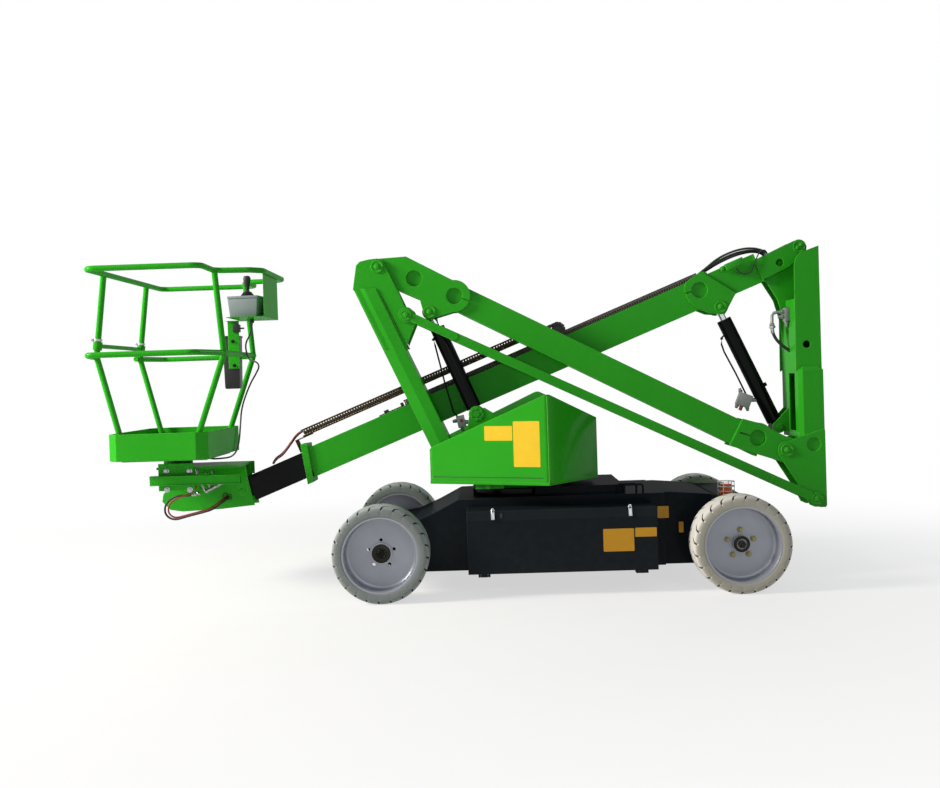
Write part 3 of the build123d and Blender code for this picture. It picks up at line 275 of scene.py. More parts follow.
def capped(rings, sides):
    """Faces of a skin over rings of points, flat at both ends."""
    faces = []
    for i in range(rings - 1):
        for k in range(sides):
            n = (k + 1) % sides
            faces.append((i * sides + k, i * sides + n, (i + 1) * sides + n, (i + 1) * sides + k))
    return faces + [tuple(range(sides - 1, -1, -1)), tuple(range((rings - 1) * sides, rings * sides))]


def rod_along(stops, radius, sides=10):
    """Points and faces of a bent rod or pipe through points in metres; radius is in mm."""
    points = []
    for i, stop in enumerate(stops):
        before = stops[max(i - 1, 0)]
        after = stops[min(i + 1, len(stops) - 1)]
        spin = (after - before).to_track_quat("Z", "Y").to_matrix()
        for k in range(sides):
            angle = 2 * math.pi * k / sides
            points.append(stop + spin @ Vector((math.cos(angle), math.sin(angle), 0)) * radius / 1000)
    return points, capped(len(stops), sides)


def worked_steel(name, shade, stain, rough, metallic=0.9):
    """Bare or plated steel with rolling marks and slight staining."""
    material, tree, output, _, cloud, body = clouded(name, shade, stain, 0.02, 6.0, 0.7)
    gloss = add_node(tree, "MapRange", inputs={
        "Value": cloud, "To Min": rough - 0.08, "To Max": rough + 0.12})
    steel = add_node(tree, "BsdfPrincipled", inputs={
        "Base Color": body, "Metallic": metallic, "Roughness": gloss})
    tree.links.new(steel.outputs[0], output.inputs["Surface"])
    return material


# Zinc plate gives small bright glints against the dark paint; rubber trim has its faint stains, but matt
zinc_plate = worked_steel("bright_zinc_plate", "#bfc2c4", "#999ca0", 0.28)
black_rubber = worked_steel("black_rubber", "#101112", "#0a0a0b", 0.6, metallic=0.0)
SIDES = ((-1, "near"), (1, "far"))
LATCH_XS = (-380, 408)
BAND_LEAN = 0.263
for side, label in SIDES:
    levers, catches = [], []
    for x in LATCH_XS:
        tilt = Matrix.Translation(at(x, side * 639, 470)) @ Matrix.Rotation(side * BAND_LEAN, 4, "X")
        levers.append(rounded_block((20, 5, 44), tilt, 1.5))
        levers.append(rounded_block((12, 8, 10), tilt @ Matrix.Translation((0, side * 0.003, -0.016)), 1.5))
        loop = [at(x - 7, side * 640, 470), at(x - 7, side * 634, 496), at(x - 6, side * 625, 509),
                at(x, side * 620, 512), at(x + 6, side * 625, 509), at(x + 7, side * 634, 496),
                at(x + 7, side * 640, 470)]
        levers.append(rod_along(loop, 2.0, 8))
        catches.append(rounded_block((26, 16, 4), laid(at(x, side * 612, 499.2)), 1.2))
        catches.append(rounded_block((12, 4, 12), laid(at(x, side * 614, 506)), 1.2))
    new_piece(f"door_latches_{label}", levers, zinc_plate, f"door_{label}")
    new_piece(f"latch_catches_{label}", catches, zinc_plate, "chassis")
    slot_place = Matrix.Translation(at(-331, side * 634.4, 471)) @ Matrix.Rotation(side * BAND_LEAN, 4, "X")
    new_piece(f"finger_slot_{label}", [rounded_block((12, 3, 26), slot_place, 1.4)], black_rubber,
              f"door_{label}")


# Blank label plates. Thin yellow vinyl with rounded corners, stuck to the doors, frame and cowls
# where the machine carries its notices; all are left bare.
def vinyl_film(name, shade, soiled):
    """Yellow vinyl: satin, faintly rippled by the steel below, slightly soiled."""
    material, tree, output, _, cloud, body = clouded(name, shade, soiled, 0.06, 6.0, 0.6)
    ripple = add_node(tree, "Bump", inputs={"Height": cloud, "Strength": 0.08, "Distance": 0.001})
    film = add_node(tree, "BsdfPrincipled", inputs={
        "Base Color": body, "Roughness": 0.38, "Normal": ripple,
        "Specular IOR Level": 0.3})
    tree.links.new(film.outputs[0], output.inputs["Surface"])
    return material


def plate_faces(n):
    """Faces of a flat plate whose first n points are one side and the next n the other."""
    rim = [(i, (i + 1) % n, n + (i + 1) % n, n + i) for i in range(n)]
    return [tuple(range(n)), tuple(range(2 * n - 1, n - 1, -1))] + rim


def label_plate(width, height, thick, radius, place):
    """Points and faces of a thin plate with rounded corners; its face looks along -Y of the matrix."""
    ring = []
    for cx, cz, start in ((1, 1, 0), (-1, 1, 90), (-1, -1, 180), (1, -1, 270)):
        for step in range(5):
            angle = math.radians(start + step * 22.5)
            ring.append((cx * (width / 2 - radius) + radius * math.cos(angle),
                         cz * (height / 2 - radius) + radius * math.sin(angle)))
    points = [place @ (Vector((x, y, z)) / 1000) for y in (0, -thick) for x, z in ring]
    return points, plate_faces(len(ring))


# The film on the cowls is a clean yellow; on the dark frame it is a deeper amber
yellow_vinyl = vinyl_film("yellow_vinyl_film", "#e8c226", "#dbb31c")
amber_vinyl = vinyl_film("deep_amber_vinyl_film", "#cc951c", "#b98314")
LABEL_THICK, LABEL_CORNER = 0.6, 5
# Name, ends along X, heights, the face it lies on, and its body
LABELS = [
    ("door_label_large", 249, 425, 248, 378, -640, "door_near"),
    ("door_label_small", 432, 555, 328, 380, -640, "door_near"),
    ("frame_label", 598, 665, 399, 470, -400, "chassis"),
    ("frame_label_low", 722, 750, 310, 374, -400, "chassis"),
]
for name, x0, x1, z0, z1, y, body in LABELS:
    place = laid(at((x0 + x1) / 2, y, (z0 + z1) / 2))
    plate = label_plate(x1 - x0, z1 - z0, LABEL_THICK, LABEL_CORNER, place)
    new_piece(name, [plate], amber_vinyl, body)


# Beacon, stop buttons and battery packs. An amber acrylic lens under a guard of white wire, red
# mushroom-headed buttons moulded in ABS, and black ABS cases on the packs behind the doors.
def moulded_plastic(name, shade, deeper, rough, grain=0.002, depth=0.15):
    """Moulded plastic with the fine spark-eroded grain of its tool."""
    material, tree, output, place, _, body = clouded(name, shade, deeper, 0.08, 5.0)
    tool = add_node(tree, "TexVoronoi", inputs={"Vector": place, "Scale": 1 / grain})
    skin = add_node(tree, "Bump", inputs={
        "Height": tool.outputs["Distance"], "Strength": depth, "Distance": 0.0006})
    plastic = add_node(tree, "BsdfPrincipled", inputs={
        "Base Color": body, "Roughness": rough, "Normal": skin, "IOR": 1.46})
    tree.links.new(plastic.outputs[0], output.inputs["Surface"])
    return material


# A lens grain of 6 mm stands for its moulded prisms
amber_lens = moulded_plastic("amber_acrylic", "#f07a12", "#e0560a", 0.18, grain=0.006, depth=0.35)
white_wire = sprayed_steel("white_powder_on_wire", "#ececea", "#dcdcda", rough=0.4, dusty=0.0)
red_abs = moulded_plastic("red_abs", "#a81c1c", "#8a1414", 0.35)
black_abs = moulded_plastic("black_abs", "#121314", "#0b0c0d", 0.48)
give(amber_lens, "beacon")
give(white_wire, "beacon_guard")
give(red_abs, "stop_buttons")
give(black_abs, "battery_packs")


# Tyres. Solid non-marking rubber pressed on the rims; the steered pair is a pale grey compound and
# the driven pair has worn darker. Slanted grooves run in from each shoulder of the tread.
TREAD_BLOCKS = 24
# Rows across the tyre: radius and depth from the outer face, then the same inside a groove
HALF_ROWS = [
    (216.2, 4.0, 216.2, 4.0), (219, 2.0, 219, 2.0), (230, 1.0, 230, 1.0), (246, 0.2, 246, 0.6),
    (254, 0.8, 254, 1.2), (263, 3.5, 261, 8.0), (270, 8.5, 264, 20.0), (275, 15.0, 266, 32.0),
    (277.2, 25.0, 267, 42.0), (277.5, 42.0, 267, 50.0), (277.5, 62.0, 269, 62.0),
    (277.5, 66.0, 277.5, 66.0),
]
MIDDLE_ROW = (277.5, 102.5, 277.5, 102.5)
BLOCK_SHARES = [0.0, 0.02, 0.13, 0.15, 0.32, 0.49, 0.66, 0.83]
GROOVE_SHARES = (1, 2)
# Faces that take the groove's painted shade: columns from the start of each block, and rows from a side
SHADED_COLUMNS, SHADED_ROWS = range(0, 3), range(5, 10)
GROOVE_SLANT = 0.75


def on_circle(r, angle, depth):
    """Point in metres on a circle about the Z axis, from a radius and a height in mm."""
    return Vector((r * math.cos(angle), r * math.sin(angle), depth)) / 1000


def wrapped(rings, count):
    """Faces of a closed skin over rings of points, of which the last meets the first."""
    faces = []
    for ring in range(rings):
        after = (ring + 1) % rings
        for i in range(count):
            n = (i + 1) % count
            faces.append((ring * count + i, after * count + i, after * count + n, ring * count + n))
    return faces


def cast_rubber(name, shade, worn, painted_side_shade):
    """Solid rubber: matt, with its sideways faces darker than the tread as painted shade, and fine grit in
    the moulded side.
    """
    material, tree, output, place, _, body = clouded(name, shade, worn, 0.09, 8.0, 0.65)
    flat = add_node(tree, "NewGeometry")
    facing = add_node(tree, "SeparateXYZ", inputs={"Vector": flat.outputs["Normal"]})
    sideways = add_node(tree, "Math", {"operation": "ABSOLUTE"}, {0: facing.outputs["Y"]})
    # Faces that look sideways take the darker side colour: painted shade
    wall = add_node(tree, "MapRange", inputs={"Value": sideways, "From Min": 0.55, "From Max": 0.95})
    both = add_node(tree, "Mix", {"data_type": "RGBA"}, {0: wall, 6: body, 7: linear(painted_side_shade)})
    grain = add_node(tree, "TexNoise", inputs={"Vector": place, "Scale": 1 / 0.004, "Detail": 4.0})
    skin = add_node(tree, "Bump", inputs={
        "Height": grain.outputs["Fac"], "Strength": 0.25, "Distance": 0.001})
    rubber = add_node(tree, "BsdfPrincipled", inputs={
        "Base Color": both.outputs[2], "Roughness": 0.86, "Normal": skin,
        "Specular IOR Level": 0.3})
    tree.links.new(rubber.outputs[0], output.inputs["Surface"])
    return material


# The last colour of each goes on the sideways faces, darker than the tread: painted shade
worn_rubber = cast_rubber("worn_grey_rubber", "#a2a7a7", "#8d9292", "#7a807f")
pale_rubber = cast_rubber("pale_grey_rubber", "#d8d5d0", "#c8c4be", "#a8a598")
# The faces in the grooves' notches take a darker rubber as painted shade
groove_shade_rubber = cast_rubber("painted_shade_in_grooves", "#5f615f", "#4b4d4b", "#414341")
WHEELS = [
    ("drive_near", -1025, -1, worn_rubber), ("drive_far", -1025, 1, worn_rubber),
    ("steer_near", 1025, -1, pale_rubber), ("steer_far", 1025, 1, pale_rubber),
]
WHEEL_FACE_Y, AXLE_Z, TYRE_WIDTH = 750, 277.5, 205.0
tyre_rows = HALF_ROWS + [MIDDLE_ROW]
tyre_rows += [(r, TYRE_WIDTH - d, cut_r, TYRE_WIDTH - cut_d)
              for r, d, cut_r, cut_d in reversed(HALF_ROWS)]
for name, x, side, rubber in WHEELS:
    hub = at(x, side * WHEEL_FACE_Y, AXLE_Z)
    spin = Vector((0, side, 0)).to_track_quat("Z", "Y").to_matrix()
    points = []
    columns = [(block + share) / TREAD_BLOCKS
               for block in range(TREAD_BLOCKS) for share in BLOCK_SHARES]
    for number, turn_share in enumerate(columns):
        in_groove = number % len(BLOCK_SHARES) in GROOVE_SHARES
        for r, depth, cut_r, cut_depth in tyre_rows:
            lean = GROOVE_SLANT * abs(TYRE_WIDTH / 2 - depth) / (TYRE_WIDTH / 2) / TREAD_BLOCKS
            half_step = 0.5 / TREAD_BLOCKS if depth > TYRE_WIDTH / 2 else 0.0
            angle = 2 * math.pi * (turn_share + lean + half_step)
            if in_groove:
                r, depth = cut_r, cut_depth
            points.append(hub + spin @ on_circle(r, angle, -depth))
    rows = len(tyre_rows)
    shaded_faces = [min(row, rows - 2 - row) in SHADED_ROWS and column % len(BLOCK_SHARES) in SHADED_COLUMNS
             for column in range(len(columns)) for row in range(rows)]
    tyre = new_piece(f"tread_{name}", [(points, wrapped(len(columns), rows))], rubber, f"wheel_{name}")
    # The second finish, on the groove faces, is painted shade
    tyre.data.materials.append(groove_shade_rubber)
    for polygon, is_shaded in zip(tyre.data.polygons, shaded_faces):
        polygon.material_index = int(is_shaded)
    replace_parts(tyre, f"tyre_{name}")


# Rims. Deep pressed steel dishes in silver paint, with a rolled bead at the outer edge and a soft
# curve where the wall meets the disc; zinc nuts hold the steered pair, the driven pair's are bare.
def turned(profile, origin, axis, steps=48):
    """Points and faces of a closed profile of radius and depth in mm, turned about an axis."""
    spin = Vector(axis).to_track_quat("Z", "Y").to_matrix()
    points = []
    for step in range(steps):
        angle = 2 * math.pi * step / steps
        for r, depth in profile:
            points.append(origin + spin @ on_circle(r, angle, depth))
    return points, wrapped(steps, len(profile))


def hexagon(width, height, origin, axis, turn=0.0):
    """Points and faces of a nut or bolt head with chamfered corners, in mm."""
    reach = width / math.sqrt(3)
    rings = [(reach * 0.90, 0.0), (reach, 0.14 * height), (reach, 0.86 * height), (reach * 0.86, height)]
    spin = Vector(axis).to_track_quat("Z", "Y").to_matrix()
    points = []
    for r, depth in rings:
        for side in range(6):
            angle = turn + side * math.pi / 3
            points.append(origin + spin @ on_circle(r, angle, depth))
    return points, capped(len(rings), 6)


def bolt(width, origin, axis, turn=0.0):
    """Bolt head on its washer."""
    disc = [(0.1, 0), (width * 0.95, 0), (width * 0.95, 2.2), (width * 0.88, 3), (0.1, 3)]
    above = origin + Vector(axis).normalized() * 0.003
    return [turned(disc, origin, axis, 20), hexagon(width, width * 0.62, above, axis, turn)]


def silver_paint():
    """Aluminium-flake paint: a soft metallic grey with a trace of sparkle."""
    material, tree, output, place, _, body = clouded(
        "silver_paint_on_steel", "#9da0aa", "#8b8e98", 0.12, 6.0)
    # Aluminium flake is far finer than this; 1.5 mm keeps a trace of its sparkle
    flake = add_node(tree, "TexNoise", inputs={"Vector": place, "Scale": 1 / 0.0015, "Detail": 1.0})
    skin = add_node(tree, "Bump", inputs={
        "Height": flake.outputs["Fac"], "Strength": 0.08, "Distance": 0.0005})
    paint = add_node(tree, "BsdfPrincipled", inputs={
        "Base Color": body, "Metallic": 0.35, "Roughness": 0.36, "Normal": skin,
        "Coat Weight": 0.3, "Coat Roughness": 0.15})
    tree.links.new(paint.outputs[0], output.inputs["Surface"])
    return material


rim_silver = silver_paint()
# Passivated zinc has a greenish gold cast, bright steel shines cold, and oily steel is almost black
zinc_yellow = worked_steel("yellow_zinc_plate", "#a39a6a", "#6e6a4c", 0.38)
bare_steel = worked_steel("bare_bright_steel", "#b9b9b6", "#8d8c88", 0.28)
oily_steel = worked_steel("oily_dark_steel", "#34322b", "#211f1a", 0.40)
give(rim_silver, "rim_drive_near", "rim_drive_far", "rim_steer_near", "rim_steer_far")
give(bare_steel, "tie_rod")
NUTS, NUT_CIRCLE, DISC_DEPTH = 5, 77.5, -95
BEAD = [
    (205.8, -14), (206.5, -7), (209.5, -2.6), (214, -1.6), (218, -3), (219.2, -6.5), (217, -9), (213, -8.5),
    (210, -12),
]
DISH_CURVE = [(205.9, -72), (203.5, -83), (198, -90), (188, -94.8), (187, -95.2), (206.2, -96)]
STUD = [(0.1, 13), (8, 13), (8, 20), (6.5, 22), (0.1, 22)]
NUT_WASHER = [(9.5, 0), (17, 0), (17, 2.5), (9.5, 2.5)]
HUB_CAP = [(46.8, -57.2), (42, -54), (38, -50), (38, -46), (30, -46), (30, -58), (46, -58)]
HUB_STUB = [(0.1, 0), (11, 0), (11, 10), (8, 14), (0.1, 14)]
HUB_RING = [(24, -99), (24, -90), (30, -86), (38, -88), (44, -92), (54.6, -92), (54.6, -99)]
for name, x, side, rubber in WHEELS:
    hub = at(x, side * WHEEL_FACE_Y, AXLE_Z)
    axis = (0, side, 0)
    body = f"wheel_{name}"
    dish = [turned(BEAD, hub, axis, 96), turned(DISH_CURVE, hub, axis, 96)]
    new_piece(f"rim_bead_{name}", dish, rim_silver, body)
    if not name.startswith("steer"):
        new_piece(f"hub_ring_{name}", [turned(HUB_RING, hub, axis)], oily_steel, body)
        continue
    nuts = []
    for step in range(NUTS):
        angle = math.pi / 2 + step * 2 * math.pi / NUTS
        across, above = NUT_CIRCLE * side * math.cos(angle), NUT_CIRCLE * math.sin(angle)
        seat = hub + Vector((across, side * DISC_DEPTH, above)) / 1000
        nuts.append(hexagon(27, 13, seat, axis, step))
        nuts.append(turned(STUD, seat, axis, 12))
        nuts.append(turned(NUT_WASHER, seat, axis, 20))
    new_piece(f"wheel_nuts_{name}", nuts, zinc_yellow, body)
    castle = [turned(HUB_CAP, hub, axis, 40), hexagon(40, 14, hub + Vector((0, side * -0.052, 0)), axis),
              turned(HUB_STUB, hub + Vector((0, side * -0.039, 0)), axis, 20)]
    new_piece(f"hub_nut_{name}", castle, oily_steel, body)


# Turret. The slewing motor, table, post and cowls are steel in bright green gloss; the cowls are
# folded from sheet with wide round corners, and a thin black strip above their foot is painted shade for
# the groove there.
# A saturated green; its paler lines on folds and cut edges are painted highlight and thin worn coat
green_gloss = sprayed_steel("green_gloss_on_steel", "#2fa321", "#27951c", 0.30, 0.04, 0.15, "#62d244")
FOLD_RADIUS = 0.026
give(green_gloss, "slew_motor", "turntable", "post", "post_pins", "centre_cover")
for label in ("near", "far"):
    source = nodes[f"cowl_{label}"]
    shape = bmesh.new()
    shape.from_mesh(source.data)
    # Back to whole sheets, so that only the outer upright folds are left to round off
    bmesh.ops.remove_doubles(shape, verts=shape.verts, dist=0.0002)
    bmesh.ops.dissolve_limit(shape, angle_limit=math.radians(1), verts=shape.verts, edges=shape.edges)
    folds = [e for e in shape.edges if len(e.link_faces) == 2 and e.calc_face_angle(0) > math.radians(25)
             and e.calc_length() > 0.05]
    upright_folds = [e for e in folds if abs((e.verts[0].co - e.verts[1].co).normalized().z) > 0.9]
    outer_folds = [e for e in upright_folds if abs(e.verts[0].co.y) > 0.3 and e.is_convex]
    bmesh.ops.bevel(shape, geom=outer_folds, offset=FOLD_RADIUS, segments=6, affect="EDGES", profile=0.5)
    shape.verts.index_update()
    sheet_points = [v.co.copy() for v in shape.verts]
    sheet_faces = [tuple(v.index for v in f.verts) for f in shape.faces]
    shape.free()
    cowl = new_piece(f"folded_cowl_{label}", [(sheet_points, sheet_faces)], green_gloss, "turret")
    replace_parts(cowl, f"cowl_{label}")
NOSE, CORNER = Vector((-749, 333)), Vector((-48, 667))
wall = (CORNER - NOSE).normalized()
# A thin black strip above each cowl's foot: painted shade for the groove line there
for side, label in SIDES:
    middle = NOSE + wall * 380 + Vector((-wall.y, wall.x)) * 0.6
    heading = math.atan2(side * wall.y, wall.x)
    place = Matrix.Translation(at(middle.x, side * middle.y, 681)) @ Matrix.Rotation(heading, 4, "Z")
    new_piece(f"cowl_groove_shade_{label}", [rounded_block((716, 2.4, 3.4), place, 0.8)], black_rubber, "turret")
COWL_LABELS = [("cowl_label_small", 371, 550, 896, 982), ("cowl_label_large", 556, 722, 744, 1008)]
for name, start, end, low, high in COWL_LABELS:
    middle = NOSE + wall * (start + end) / 2
    place = laid(at(middle.x, -middle.y, (low + high) / 2))
    place = place @ Matrix.Rotation(math.atan2(-wall.y, wall.x), 4, "Z")
    plate = label_plate(end - start, high - low, 0.8, LABEL_CORNER, place)
    new_piece(name, [plate], yellow_vinyl, "turret")


# Parallelogram. Welded box tubes and thick plates in the same green; each pin is a plain shaft with
# a flanged head and a hex bolt, and the tie bars are doubled near their ends.
give(green_gloss, "lower_boom", "tie_bars", "upright_column", "upright_head", "upright_pins")
BOSS = [(24, 0), (39, 0), (39.5, 1.5), (38.5, 3.4), (33, 3.8), (31, 2), (24, 2)]
CAP_BOSS = [(18, 0), (33, 0), (33.5, 1.5), (32.5, 2.8), (28, 3), (26, 1.6), (18, 1.6)]
# Name, place in the side view, the near plate's outer face, the boss and its body
PINS = [
    ("post_pin_a", -1042, 1969, -201, BOSS, "turret"),
    ("post_pin_b", -872, 1666, -215, CAP_BOSS, "turret"),
    ("upright_pin_c", 1430, 765, -201, BOSS, "upright"),
    ("upright_pin_d", 1600, 462, -215, CAP_BOSS, "upright"),
    ("boom_pin_e", 1594, 2025, 7, BOSS, "upper_boom"),
]
LOWER_MID_Y, UPPER_MID_Y = -95, 100
for name, x, z, near_y, profile, body in PINS:
    middle_y = UPPER_MID_Y if body == "upper_boom" else LOWER_MID_Y
    shapes = []
    for side, y in ((-1, near_y), (1, 2 * middle_y - near_y)):
        seat, axis = at(x, y, z), (0, side, 0)
        shapes.append(turned(profile, seat, axis, 40))
        if name == "boom_pin_e":
            for apart in ((-0.009, 0, -0.006), (0.012, 0, 0.009)):
                shapes += bolt(15, seat + Vector(apart), axis)
        else:
            shapes += bolt(22, seat, axis, 0.4)
    new_piece(name, shapes, green_gloss, body)
EYE_PINS = [("lower_eye_pin", -730, 1681, -181, "lower_boom"),
            ("upper_eye_pin", 1094, 1665, 8, "upper_boom")]
for name, x, z, y, body in EYE_PINS:
    seat, axis = at(x, y, z), (0, -1, 0)
    shapes = [turned(BOSS, seat, axis, 40)] + bolt(20, seat, axis, 0.2)
    new_piece(name, shapes, green_gloss, body)
DOUBLER_W, DOUBLER_T = 50, 3.2
tie_run = Vector((2472, -1204)).normalized()
for side, label in SIDES:
    face_y = LOWER_MID_Y + side * 116
    shapes = []
    for start, end in ((30, 348), (2445, 2720)):
        outline = []
        half = DOUBLER_W / 2
        for centre, first in ((end - half, -90), (start + half, 90)):
            for step in range(9):
                angle = math.radians(first + step * 22.5)
                outline.append((centre + half * math.cos(angle), half * math.sin(angle)))
        points = []
        for y in (face_y + side * 0.1, face_y + side * DOUBLER_T):
            for along, across in outline:
                x = -872 + along * tie_run.x - across * tie_run.y
                z = 1666 + along * tie_run.y + across * tie_run.x
                points.append(at(x, y, z))
        shapes.append((points, plate_faces(len(outline))))
    new_piece(f"tie_bar_doublers_{label}", shapes, green_gloss, "tie_bars")
LUG_CAP = [(22, 0), (45, 0), (45.5, 2), (44, 5), (22, 5)]
for side, label in SIDES:
    lug_face = LOWER_MID_Y + side * 60
    seat, axis = at(-460, lug_face, 1043), (0, side, 0)
    shapes = [turned(LUG_CAP, seat, axis, 40)]
    for step in range(6):
        angle = math.radians(30 + 60 * step)
        spot = seat + Vector((33 * math.cos(angle), side * 5, 33 * math.sin(angle))) / 1000
        shapes.append(hexagon(9, 4, spot, axis))
    new_piece(f"lower_lug_cap_{label}", shapes, green_gloss, "turret")


# Lift cylinders. Honed tube barrels sprayed satin black on hard-chromed rods, each with a lock valve
# block in zinc-plated steel and a bent steel pipe up to the gland.
def pipe_union(width, height, stub_r, reach, seat, heading):
    """Hexagon nut with the stub of a pipe or plug in it, in mm."""
    stub = [(0.1, height - 1), (stub_r, height - 1), (stub_r, reach - 3), (8, reach), (0.1, reach)]
    return [hexagon(width, height, seat, heading), turned(stub, seat, heading, 16)]


give(black_satin, "cylinder_lower", "cylinder_upper")
# Hard chrome is close to a mirror and shows the floor and sky as long streaks
chrome = worked_steel("hard_chrome", "#dfe1e4", "#c2c5c9", 0.14, metallic=1.0)
give(chrome, "rod_lower", "rod_upper")
# Zinc that has gone dull and chalky, so it reads as plain grey
dull_zinc = worked_steel("dull_zinc_plate", "#8f9391", "#727674", 0.42, metallic=0.4)
PIPE_RADIUS, PIPE_Y = 5.5, -9
PIPE_RING = [(6, 0), (9, 0), (9, 12), (6, 12)]
# Name, its plane, the block's place, turn and size, its port, the pipe's line, and the unions
VALVES = [
    ("lower", LOWER_MID_Y, (-559, 998), 12, (50, 44, 74), (-500, 990),
     [(-700, 1536), (-716, 1518), (-706, 1478), (-655, 1250), (-606, 1062), (-584, 1032), (-566, 1020)],
     [((-586, 1004), (-0.98, 0, -0.21)), ((-555, 962), (0.21, 0, -0.98))]),
    ("upper", UPPER_MID_Y, (1245, 1070), -22, (88, 44, 84), (1330, 1068),
     [(1129, 1487), (1112, 1472), (1110, 1430), (1126, 1380), (1196, 1240), (1256, 1108)],
     [((1226, 1120), (-0.3, 0, 1)), ((1202, 1045), (-0.37, 0, -0.93)), ((1262, 1026), (0.2, 0, -1))]),
]
for label, y, block_at, turn, size, port, pipe_line, unions in VALVES:
    body = f"barrel_{label}"
    shapes = [rounded_block(size, laid(at(block_at[0], y, block_at[1]), turn), 2.5)]
    shapes.append(rod_along([at(block_at[0], y, block_at[1]), at(port[0], y, port[1])], 13, 16))
    for spot, heading in unions:
        shapes += pipe_union(24, 14, 10, 27, at(spot[0], y, spot[1]), heading)
    new_piece(f"lock_valve_{label}", shapes, dull_zinc, body)
    pipes = [rod_along([at(x, y + PIPE_Y, z) for x, z in pipe_line], PIPE_RADIUS)]
    ring_x, ring_z = pipe_line[1]
    pipes.append(turned(PIPE_RING, at(ring_x, y + PIPE_Y, ring_z - 12), (0, 0, 1), 12))
    new_piece(f"steel_pipe_{label}", pipes, black_satin, body)
STOPPERS = [
    ("lower_valve_cap", 11, 10, 7, (-556, -117.2, 1004), (0, -1, 0), red_abs, "barrel_lower", "button_red"),
    ("upper_valve_cap", 12, 11, 30, (1228, 100, 1033), (-0.37, 0, -0.93), red_abs, "barrel_upper",
     "button_red"),
    ("upper_bleed_boss", 14, 12, 22, (1369, 100, 1160), (0.91, 0, 0.42), black_satin, "barrel_upper",
     "black_paint"),
]
for name, foot, top, height, place, heading, material, body, slot in STOPPERS:
    stopper = turned([(0.1, 0), (foot, 0), (top, height), (0.1, height)], at(*place), heading, 20)
    new_piece(name, [stopper], material, body)


# Upper boom. A square tube in green gloss with thick plates welded to its tail, and the fly boom,
# a smaller tube in satin black, sliding inside it; a sensor guard and a hose clamp are bolted on.
give(green_gloss, "upper_boom", "upper_brackets", "upper_pins")
give(black_satin, "fly_boom")
UPPER_ANGLE = math.radians(201.7)
PIVOT_X, PIVOT_Z = 1594, 2025


def up_boom(s, n, y=UPPER_MID_Y):
    """Point at a distance along the upper boom from its pivot, and square to it, in mm."""
    return at(PIVOT_X + s * math.cos(UPPER_ANGLE) + n * math.sin(UPPER_ANGLE), y,
              PIVOT_Z + s * math.sin(UPPER_ANGLE) - n * math.cos(UPPER_ANGLE))


def on_boom(s, n, y=UPPER_MID_Y):
    """Matrix that lays a block along the upper boom."""
    return Matrix.Translation(up_boom(s, n, y)) @ Matrix.Rotation(math.pi - UPPER_ANGLE, 4, "Y")


guard = [rounded_block((118, 38, 42), on_boom(418, 63, -8), 4),
         rounded_block((30, 6, 34), on_boom(492, 63, 9), 2)]
guard += bolt(16, up_boom(494, 63, 6), (0, -1, 0))
new_piece("sensor_guard", guard, green_gloss, "upper_boom")
clamp = [rounded_block((34, 84, 12), on_boom(600, 80, 92), 2.5)]
for y in (62, 122):
    clamp += bolt(13, up_boom(600, 86, y), up_boom(0, 1) - up_boom(0, 0))
new_piece("tail_hose_clamp", clamp, green_gloss, "upper_boom")
rest = [rounded_block((72, 76, 6), on_boom(243, -23, 100), 1.5),
        rounded_block((42, 76, 40), on_boom(191, -6, 100), 3)]
new_piece("tail_manifold", rest, dull_zinc, "upper_boom")
end_stop = [rounded_block((160, 60, 6), on_boom(2776, 78, 100), 1.5),
            rounded_block((30, 30, 16), on_boom(2800, 88, 70), 2),
            rounded_block((14, 90, 26), on_boom(2692, 87, 100), 2)]
new_piece("tray_end_stop", end_stop, black_abs, "upper_boom")


# Hose trays and energy chain. Ladder-sided trays, faded black nylon on the tube and primer-brown
# steel on the fly boom, each round a bundle of dusty hoses, with the nylon links of the chain bent
# over between them.
TRAY_HALF_Y = 60


def ladder(s_range, n_range, half_y, rung, pitch, rail):
    """Both open sides of a tray and its floor, from rails and rungs along the upper boom."""
    length = s_range[1] - s_range[0]
    s_mid, n_mid = sum(s_range) / 2, sum(n_range) / 2
    shapes = [rounded_block((length, 2 * half_y, 3), on_boom(s_mid, n_range[0] + 1.5), 0.8)]
    for y in (UPPER_MID_Y - half_y + 2, UPPER_MID_Y + half_y - 2):
        shapes.append(rounded_block((length, 4, rail), on_boom(s_mid, n_range[0] + rail / 2, y), 1.0))
        shapes.append(rounded_block((length, 4, rail), on_boom(s_mid, n_range[1] - rail / 2, y), 1.0))
        for step in range(int(length / pitch)):
            place = on_boom(s_range[0] + pitch * (step + 0.5), n_mid, y)
            shapes.append(rounded_block((rung, 4, n_range[1] - n_range[0] - 2), place, 0.8))
    return shapes


def rubber_cover(name, shade, deeper, pitch):
    """Hose cover: satin rubber with the fine cloth wrap marks of its curing."""
    material, tree, output, place, _, body = clouded(name, shade, deeper, 0.03, 6.0)
    wrap = add_node(tree, "TexWave", inputs={"Vector": place, "Scale": 1 / pitch, "Distortion": 0.4})
    skin = add_node(tree, "Bump", inputs={
        "Height": wrap.outputs["Fac"], "Strength": 0.35, "Distance": 0.0008})
    rubber = add_node(tree, "BsdfPrincipled", inputs={
        "Base Color": body, "Roughness": 0.5, "Normal": skin})
    tree.links.new(rubber.outputs[0], output.inputs["Surface"])
    return material
